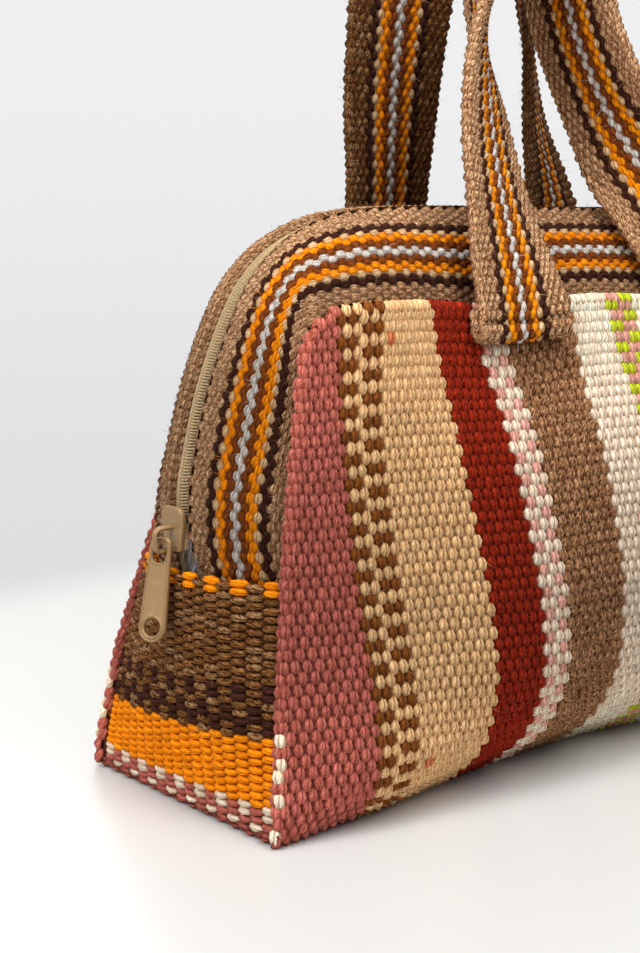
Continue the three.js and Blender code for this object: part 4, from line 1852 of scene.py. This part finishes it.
@dataclass(frozen=True)
class Fray:
    """The loose threads of a tape's cut end, beside the slider."""

    count: int = 170
    run: Pair = (0.5, 2.1)
    shares: Pair = (0.16, 0.5)
    lift: float = 0.2
    step: float = 0.1
    lean: Pair = (-0.7, 0.9)
    stand: Pair = (0, 0.5)
    length: float = 5.5
    width: float = 0.16
    lengths: Pair = (0.4, 1.2)
    bows: Pair = (0, 0.25)
    colour: Colour = (172, 172, 174)
    tones: Pair = (0.45, 1.15)
    heather: float = 0.1
    turn: float = 0.3
    seed: int = SEED + 31

    def build(self, tape: "ZipTape", dresser: Dresser) -> None:
        """Lays the threads.

        Args:
            tape: The tape that they come out of.
            dresser: What the sub-assemblies share.
        """
        random = np.random.default_rng(self.seed)
        at = random.uniform(*self.run, self.count)
        place = tape.points(at, random.uniform(*self.shares, self.count), -self.lift)
        out = ZIP.outward(at)
        down = unit(ZIP.point(at - self.step) - ZIP.point(at))
        lean = random.uniform(*self.lean, self.count)[:, None]
        stand = random.uniform(*self.stand, self.count)[:, None]
        along = unit(down + np.array([0, tape.side, 0]) * lean + out * stand)
        up = unit(out - along * (out * along).sum(axis=-1, keepdims=True))
        lengths = self.length * random.uniform(*self.lengths, self.count)
        bows = self.length * random.uniform(*self.bows, self.count)
        sizes = np.stack([lengths, np.full(self.count, self.width), bows], axis=-1)
        tint = random.uniform(*self.tones, self.count)[:, None] * linear(self.colour)
        yarn = np.concatenate([np.clip(tint, 0, 1), np.full((self.count, 1), self.heather)], axis=1)
        layout = Layout(place, along, up, sizes, yarn)
        placed(dresser.weaver.build(f"{tape.node}_threads", layout, dresser.strap, self.seed,
                                    dresser.weaver.fibre, self.turn))


@dataclass
class ZipTape(Assembly):
    """One of the zip's two cloth tapes, under a band."""

    node: str
    side: float
    reach: float = 0.74
    split: float = 0.25
    thick: float = 1.0
    crown: float = 2.3
    end_crown: float = 3.0
    rise: Pair = (0.08, 0.24)
    fall: Pair = (0.42, 0.75)
    bare: Pair = (1.3, 0.9)
    inset: float = 0.01
    rows: int = 120
    columns: int = 17
    fray: Fray = Fray()

    def points(self, along: Array, share: Array, depth: float) -> Array:
        """Gives points of the tape.

        Args:
            along: Places along the zip.
            share: Places from the coil to the tape's sewn edge, 0 to 1.
            depth: Depth under its outer face.

        Returns:
            The points.
        """
        along, share = np.broadcast_arrays(along, share)
        rise = smoothstep(*self.rise, share) * (1 - smoothstep(*self.fall, share))
        bare = smoothstep(*self.bare, np.minimum(along, ZIP.end - along))
        lift = rise * (self.crown + (self.end_crown - self.crown) * bare)
        place, _, up = frames(BandFace(self.side), np.full_like(along, self.reach), along)
        out = ZIP.outward(along)
        inner = ZIP.point(along) - out * (GAP + depth) + np.array([0, self.side * self.split, 0])
        edge = place - up * (STRAP + LAP + depth)
        return inner + (edge - inner) * share[..., None] + out * lift[..., None]

    def build(self, dresser: Dresser) -> None:
        """Builds and dresses the tape, with the frayed end of the front one."""
        along = np.linspace(self.inset, ZIP.end - self.inset, self.rows)[:, None]
        shares = np.linspace(0, 1, self.columns)
        layers = [self.points(along, shares, depth).reshape(-1, 3) for depth in (0.0, self.thick)]
        faces = shell_faces(self.rows, self.columns)
        piece = mesh_piece(f"{self.node}_cloth", np.concatenate(layers), faces, dresser.tape)
        placed(piece, self.node)
        if self.side == FRONT:
            self.fray.build(self, dresser)


@dataclass
class ZipCoil(Assembly):
    """The closed nylon coil: two rows of teeth that meet along the middle."""

    start: float = 1.2
    pitch: float = 0.8
    base: float = 0.15
    tooth: Triple = (2.5, 0.82, 1.7)
    offset: float = 1.15
    colour: Colour = (190, 164, 120)
    heather: float = 0.1
    turn: float = 0.02
    seed: int = SEED + 23

    def build(self, dresser: Dresser) -> None:
        """Builds and dresses the coil."""
        at = ZIP.places(self.start, ZIP.end - self.start, self.pitch)
        rows = []
        for side, shift in ((FRONT, 0), (BACK, (at[1] - at[0]) / 2)):
            run = at + shift
            out = ZIP.outward(run)
            place = ZIP.point(run) + out * self.base + np.array([0, side * self.offset, 0])
            across, sizes, tints = (
                np.tile(values, (len(run), 1))
                for values in ((0.0, side, 0.0), self.tooth, (*linear(self.colour), self.heather)))
            rows.append(Layout(place, across, out, sizes, tints))
        placed(dresser.weaver.build("zip_coil_teeth", rows[0].plus(rows[1]), dresser.coil, self.seed,
                                    dresser.weaver.plain, self.turn), "zip_coil")


def slider_frame() -> Matrix:
    """Gives the slider's frame in metres: x across the zip, y up along it, z out of the bag."""
    at = np.array(SLIDER_PLACE)
    out = ZIP.outward(at)
    across = np.array([0.0, -1.0, 0.0])
    axes = np.eye(4)
    axes[:3] = np.stack([across, np.cross(out, across), out, ZIP.point(at) * MM], axis=-1)
    return Matrix(axes.tolist())


def plate(name: str, outlines: Sequence[Array], thick: float, bevel: float, place: Matrix) -> Object:
    """Builds a plate with rounded edges from flat outlines, the later ones being holes.

    Args:
        name: The plate's name.
        outlines: Closed outlines, in millimetres.
        thick: Its thickness.
        bevel: Radius of its edges.
        place: Where it goes, in metres.

    Returns:
        The plate.
    """
    curve = bpy.data.curves.new(name, "CURVE")
    curve.dimensions = "2D"
    curve.fill_mode = "BOTH"
    curve.extrude = (thick / 2 - bevel) * MM
    curve.bevel_depth = bevel * MM
    curve.bevel_resolution = 2
    curve.offset = -bevel * MM
    for outline in outlines:
        line = curve.splines.new("POLY")
        line.points.add(len(outline) - 1)
        points = np.pad(outline * MM, ((0, 0), (0, 2)))
        points[:, 3] = 1
        line.points.foreach_set("co", points.ravel())
        line.use_cyclic_u = True
    piece = baked(show(f"{name}_outline", curve), name)
    piece.data.transform(place)
    return piece


def tube(name: str, path: Array, radius: float, place: Matrix, sides: int = 10, closed: bool = False,
         aspect: float = 1.0) -> Object:
    """Builds a rod along a flat path.

    Args:
        name: The rod's name.
        path: Points of its middle line, in millimetres.
        radius: Half its thickness in the path's plane.
        place: Where it goes, in metres.
        sides: Points round its section.
        closed: Whether the path closes on itself.
        aspect: Width of its section across the path's plane over its thickness in it.

    Returns:
        The rod.
    """
    if closed:
        along = unit(np.roll(path, -1, axis=0) - np.roll(path, 1, axis=0))
    else:
        along = unit(np.gradient(path, axis=0))
    flat = np.linalg.svd(path - path.mean(axis=0))[2][2]
    turns = np.linspace(0, 2 * math.pi, sides, endpoint=False)
    rings = [point + radius * (math.cos(turn) * aspect * flat + math.sin(turn) * other)
             for point, other in zip(path, np.cross(along, flat)) for turn in turns]
    mesh = bpy.data.meshes.new(name)
    mesh.from_pydata((np.array(rings) * MM).tolist(), [], rod_faces(len(path), sides, closed))
    mesh.transform(place)
    turn_outwards(mesh)
    return show(name, mesh)


def joined(name: str, pieces: Sequence[Object], finish: Material,
           sharp: float = 40.0) -> Object:
    """Joins pieces into one with one material.

    Args:
        name: Name of the whole.
        pieces: What to join.
        finish: Its material.
        sharp: Angle in degrees from which an edge stays sharp.

    Returns:
        The whole.
    """
    whole = bmesh.new()
    for piece in pieces:
        whole.from_mesh(piece.data)
        bpy.data.objects.remove(piece)
    mesh = bpy.data.meshes.new(name)
    whole.to_mesh(mesh)
    whole.free()
    mesh.materials.clear()
    mesh.materials.append(finish)
    for polygon in mesh.polygons:
        polygon.material_index = 0
    mesh.shade_smooth()
    mesh.set_sharp_from_angle(angle=math.radians(sharp))
    return show(name, mesh)


def arc(centre: Pair, radius: float, start: float, stop: float, count: int) -> Array:
    """Gives points of an arc, its angles in degrees from +x."""
    turns = np.radians(np.linspace(start, stop, count))
    return np.stack([centre[0] + radius * np.cos(turns), centre[1] + radius * np.sin(turns)], axis=-1)


@dataclass
class ZipSlider(Assembly):
    """The slider at the left end of the zip, with the bail that its pull hangs on."""

    length: float = 11.5
    top: float = 9.6
    foot: float = 7.4
    foot_corner: Pair = (0.6, 0.5)
    foot_flare: float = 0.2
    shoulder: float = 2.6
    thick: float = 1.4
    bevel: float = 0.35
    seat: float = 3.75
    flange: float = 0.7
    flange_path: tuple[Pair, ...] = (
        (-4.9, 1.6), (-4.6, 2.4), (-1.7, 2.4), (1.2, 2.4), (1.6, 1.6))
    flange_radius: float = 0.36
    wall_path: tuple[Pair, ...] = (
        (-5.0, 3.1), (-3.35, 3.1), (-1.7, 3.1), (-0.05, 3.1), (1.6, 3.1))
    wall_radius: float = 0.75
    coil_half: float = 2.9
    bail_middle: float = -2.6
    bail_half: float = 3.0
    bail_clear: float = 4.5
    bail_bar: float = 1.3
    bail_width: float = 1.8
    bail_round: float = 1.7
    bail_root: float = 0.5

    def outline(self) -> Array:
        """Gives the outline of the slider's plate: round shoulders and a narrower foot."""
        half, foot, top = self.length / 2, self.foot / 2, self.top / 2
        inset, rise = self.foot_corner
        right = np.concatenate([
            [[foot - inset, -half], [foot, -half + rise]],
            np.linspace((foot + self.foot_flare, -half / 2), (top, half / 4), 5),
            arc((top - self.shoulder, half - self.shoulder), self.shoulder, 0, 90, 7)])
        return np.concatenate([right, right[::-1] * [-1, 1]])

    def arch(self) -> Array:
        """Gives the middle line of the bail, in the plane along the zip."""
        root, bend = self.seat + self.thick - self.bail_root, self.bail_round
        crown = self.seat + self.thick + self.bail_clear + self.bail_bar / 2
        high, low = self.bail_middle + self.bail_half, self.bail_middle - self.bail_half
        line = np.concatenate([
            [[high, root], [high, (root + crown) / 2]],
            arc((high - bend, crown - bend), bend, 0, 90, 7),
            arc((low + bend, crown - bend), bend, 90, 180, 7),
            [[low, (root + crown) / 2], [low, root]]])
        return np.c_[np.zeros(len(line)), line]

    def build(self, dresser: Dresser) -> None:
        """Builds and dresses the slider."""
        place = slider_frame()
        seat = Matrix.Translation((0, 0, (self.seat + self.thick / 2) * MM))
        parts = [plate("slider_cover", [self.outline()], self.thick, self.bevel, place @ seat)]
        for side in (-1, 1):
            x = side * (self.coil_half + GAP + self.flange / 2)
            for name, line, radius in (("flange", self.flange_path, self.flange_radius),
                                       ("wall", self.wall_path, self.wall_radius)):
                path = np.array([(x, *point) for point in line])
                parts.append(tube(f"slider_{name}_{side}", path, radius, place, 8))
        aspect = self.bail_width / self.bail_bar
        parts.append(tube("slider_bail", self.arch(), self.bail_bar / 2, place, 12, aspect=aspect))
        placed(joined("zip_slider_metal", parts, dresser.paint), "zip_slider")


@dataclass
class ZipPull(Assembly):
    """The pull on the slider's bail: a tapered bare plate with a raised rim, an eye and a round hole."""

    length: float = 27.0
    width: float = 7.8
    neck: float = 6.0
    corner: float = 1.6
    thick: float = 1.6
    sunk: float = 0.5
    bevel: float = 0.2
    bar: float = 1.3
    eye_wide: float = 4.2
    eye_long: float = 5.4
    eye_corner: float = 0.7
    eye_rim: float = 0.35
    hole: float = 2.4
    hole_rim: float = 0.42
    rim: float = 0.4
    lean: float = 14.0
    twist: float = 26.0
    slide: float = -0.4
    rise: float = 7.75
    down: float = -2.6

    @property
    def ring(self) -> float:
        """Place of the round hole's middle along the pull."""
        return self.bar / 2 - self.length + self.width / 2

    def outline(self, inset: float) -> Array:
        """Gives the pull's outline, drawn in by an inset."""
        top = self.bar / 2 - inset
        neck, wide = self.neck / 2 - inset, self.width / 2 - inset
        bend = self.corner - inset / 2
        return np.concatenate([
            arc((neck - bend, top - bend), bend, 90, 10, 6),
            arc((0, self.ring), wide, 5, -185, 25),
            arc((-neck + bend, top - bend), bend, 170, 90, 6)])

    def eye(self, grow: float) -> Array:
        """Gives the outline of the eye that the bail passes through, made larger by grow."""
        wide, top, bend = self.eye_wide / 2 + grow, -self.bar / 2 + grow, self.eye_corner
        low = -self.bar / 2 - self.eye_long + self.eye_wide / 2
        return np.concatenate([
            arc((wide - bend, top - bend), bend, 0, 90, 4),
            arc((-wide + bend, top - bend), bend, 90, 180, 4),
            arc((0, low), wide, 180, 360, 13)])

    def build(self, dresser: Dresser) -> None:
        """Builds and dresses the pull."""
        place = (slider_frame() @ Matrix.Translation((0, self.down * MM, self.rise * MM))
                 @ Matrix.Rotation(math.radians(self.twist), 4, "Y")
                 @ Matrix.Rotation(math.radians(-self.lean), 4, "X")
                 @ Matrix.Translation((self.slide * MM, 0, 0)))
        lines = [self.outline(0), self.eye(0), arc((0, self.ring), self.hole, 0, 345, 24)]
        parts = [plate("pull_blank", lines, self.thick - self.sunk, self.bevel, place)]
        for name, line in (("pull_edge", self.outline(self.rim)),
                           ("pull_hole_rim", arc((0, self.ring), self.hole + self.hole_rim, 0, 350, 36)),
                           ("pull_eye_rim", self.eye(self.eye_rim))):
            path = np.c_[line, np.zeros(len(line))]
            parts.append(tube(name, path, self.rim, place, closed=True, aspect=self.thick / 2 / self.rim))
        placed(joined("zip_pull_metal", parts, dresser.paint), "zip_pull", PULL)


# Studio


def set_up(name: str, data: ID, place: Sequence[float], look: Sequence[float]) -> Object:
    """Puts a light or a camera in the scene.

    Args:
        name: Its name.
        data: The light or camera.
        place: Where it stands, in millimetres.
        look: Which way it points.

    Returns:
        Its object.
    """
    made = show(name, data)
    made.location = Vector(place) * MM
    made.rotation_euler = Vector(look).to_track_quat("-Z", "Y").to_euler()
    return made


@dataclass(frozen=True)
class Lamp:
    """A soft square light of a size in millimetres and a power in watts."""

    name: str
    place: Triple
    aim: Triple
    size: float
    power: float

    def build(self) -> None:
        """Adds the light."""
        lamp = bpy.data.lights.new(self.name, "AREA")
        lamp.energy, lamp.size = self.power, self.size * MM
        set_up(self.name, lamp, self.place, Vector(self.aim) - Vector(self.place))


@dataclass
class Studio:
    """Plain pale floor and backdrop, soft light, and a camera at the photograph's angle."""

    camera_place: Triple = (-362.5, -362.7, 151.1)
    camera_look: Triple = (0.6075, 0.7807, -0.1463)
    focal_pixels: float = 1700.0
    image_height: float = 953.0
    sensor: float = 36.0
    clip_start: float = 0.01
    ring_points: int = 96
    table_middle: Pair = (43.0, -147.0)
    table_radius: float = 413.0
    table_blur: float = 38.0
    table_tint: Quad = (0.6, 0.597, 0.58, 1)
    table_roughness: float = 0.35
    table_specular: float = 0.3
    tent_radius: float = 2600.0
    tent_height: float = 2200.0
    tent_low: tuple[float, Colour] = (-520.0, (223, 223, 223))
    tent_high: tuple[float, Colour] = (560.0, (240, 240, 240))
    world_tint: Quad = (0.8, 0.8, 0.8, 1)
    world_strength: float = 0.48
    lamps: tuple[Lamp, ...] = (
        Lamp("key", (-900, -150, 800), (0, 0, 80), 600, 9.0),
        Lamp("top", (-150, -100, 1000), (-40, 0, 60), 500, 5.0),
        Lamp("front", (-60, -360, 480), (10, -20, 170), 280, 1.25),
        Lamp("back", (350, 800, 700), (0, 0, 100), 600, 4.0),
    )

    def build(self) -> None:
        """Builds the floor, the backdrop, the lights and the camera."""
        self.floor()
        self.tent()
        self.world()
        for lamp in self.lamps:
            lamp.build()
        self.camera()
        settings = bpy.context.scene.view_settings
        settings.view_transform = "Standard"
        settings.look = "None"

    def ring(self, middle: Pair, radius: float, height: float) -> Array:
        """Gives the points of a level circle."""
        turns = np.linspace(0, 2 * math.pi, self.ring_points, endpoint=False)
        return np.stack([middle[0] + radius * np.cos(turns), middle[1] + radius * np.sin(turns),
                         np.full_like(turns, height)], axis=-1)

    def floor(self) -> None:
        """Builds the floor, a white round table top that fades out at its edge."""
        material, bench, shader = fresh_material("studio_white")
        middle = (*(value * MM for value in self.table_middle), 0)
        reach = bench.add("ShaderNodeVectorMath", {0: bench.place(), 1: middle},
                          operation="DISTANCE").outputs["Value"]
        low, high = (self.table_radius - self.table_blur) * MM, (self.table_radius + self.table_blur) * MM
        bench.feed(shader, {
            "Alpha": bench.ramp(reach, low, high, 1.0, 0.0), "Base Color": self.table_tint,
            "Roughness": self.table_roughness, "Specular IOR Level": self.table_specular})
        ring = self.ring(self.table_middle, self.table_radius + self.table_blur, 0)
        mesh_piece("studio_floor", ring, [list(range(len(ring)))], material)

    def tent(self) -> None:
        """Builds the backdrop, a pale wall all round that shines a little brighter higher up."""
        material, bench, shader = fresh_material("studio_tent")
        height = bench.parts(bench.place())["Z"]
        (low, dim), (high, bright) = self.tent_low, self.tent_high
        share = bench.ramp(height, low * MM, high * MM, 0.0, 1.0)
        bench.feed(shader, {
            "Emission Color": bench.blend(share, dim, bright), "Emission Strength": 1.0,
            "Base Color": (0, 0, 0, 1), "Specular IOR Level": 0})
        rings = [self.ring((0, 0), self.tent_radius, side * self.tent_height) for side in (-1, 1)]
        faces = grid_faces(2, self.ring_points, closed=True)
        tent = mesh_piece("studio_tent", np.concatenate(rings), faces, material)
        tent.visible_diffuse = False

    def world(self) -> None:
        """Builds the pale surroundings."""
        world = bpy.data.worlds.new("studio_surroundings")
        world.use_nodes = True
        NodeBench(world.node_tree).feed(world.node_tree.nodes["Background"], {
            "Color": self.world_tint, "Strength": self.world_strength})
        bpy.context.scene.world = world

    def camera(self) -> None:
        """Adds the camera."""
        lens = bpy.data.cameras.new("view")
        lens.sensor_width = self.sensor
        lens.lens = self.focal_pixels / self.image_height * self.sensor
        lens.clip_start = self.clip_start
        bpy.context.scene.camera = set_up("view", lens, self.camera_place, self.camera_look)


def main() -> None:
    """Builds the bag and its studio in order, and reports each piece."""
    logging.basicConfig(level=logging.INFO, format="%(name)s: %(message)s")
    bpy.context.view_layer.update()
    Studio().build()
    group = PliedYarn().build()
    plain = FloatShape(sides=(-0.5, 0, 0.5), dome=(0, 1, 0))
    oval = FloatShape(widths=(0.08, 0.74, 1, 0.74, 0.08), heights=(0, 0.72, 1, 0.72, 0),
                      dome=(0, 0.82, 1, 0.82, 0))
    weaver = Weaver(FloatTree(), FloatShape().build("yarn_float"), plain.build("plain_float"),
                    oval.build("oval_float"), FibreShape().build("stray_fibre"))
    dresser = Dresser(
        loom=Loom(),
        weaver=weaver,
        striped=WoolFinish("striped_wool").build(group),
        # Painted shade on the end gussets' floats: more on the flanks and ends, less in the crease.
        ends=WoolFinish("end_wool", flank=0.72, crease=0.32).build(group),
        strap=WoolFinish("strap_wool", twist=1.8).build(group),
        ground=GroundFinish().build(),
        tape=TapeFinish().build(),
        coil=CoilFinish().build(),
        paint=PaintFinish().build(),
    )
    assemblies: list[Assembly] = [
        StripedCloth(),
        EndGusset("left_gusset", -1.0),
        EndGusset("right_gusset", 1.0),
        ZipBand("front_band", FRONT),
        ZipBand("back_band", BACK),
        ZipTape("front_tape", FRONT),
        ZipTape("back_tape", BACK),
        ZipCoil(),
        ZipSlider(),
        ZipPull(),
        StrapHandle("front_handle", FRONT_STRAP),
        # Painted shade: the back handle's colours are darkened by its tone, and its borders are woven in dark
        # UMBER yarn to stand in for shade.
        StrapHandle("back_handle", BACK_STRAP, border=Yarn.UMBER, tone=0.7),
    ]
    for assembly in assemblies:
        assembly.build(dresser)
        LOG.info("built %s", type(assembly).__name__)
    weaver.clear()


if __name__ == "__main__":
    main()
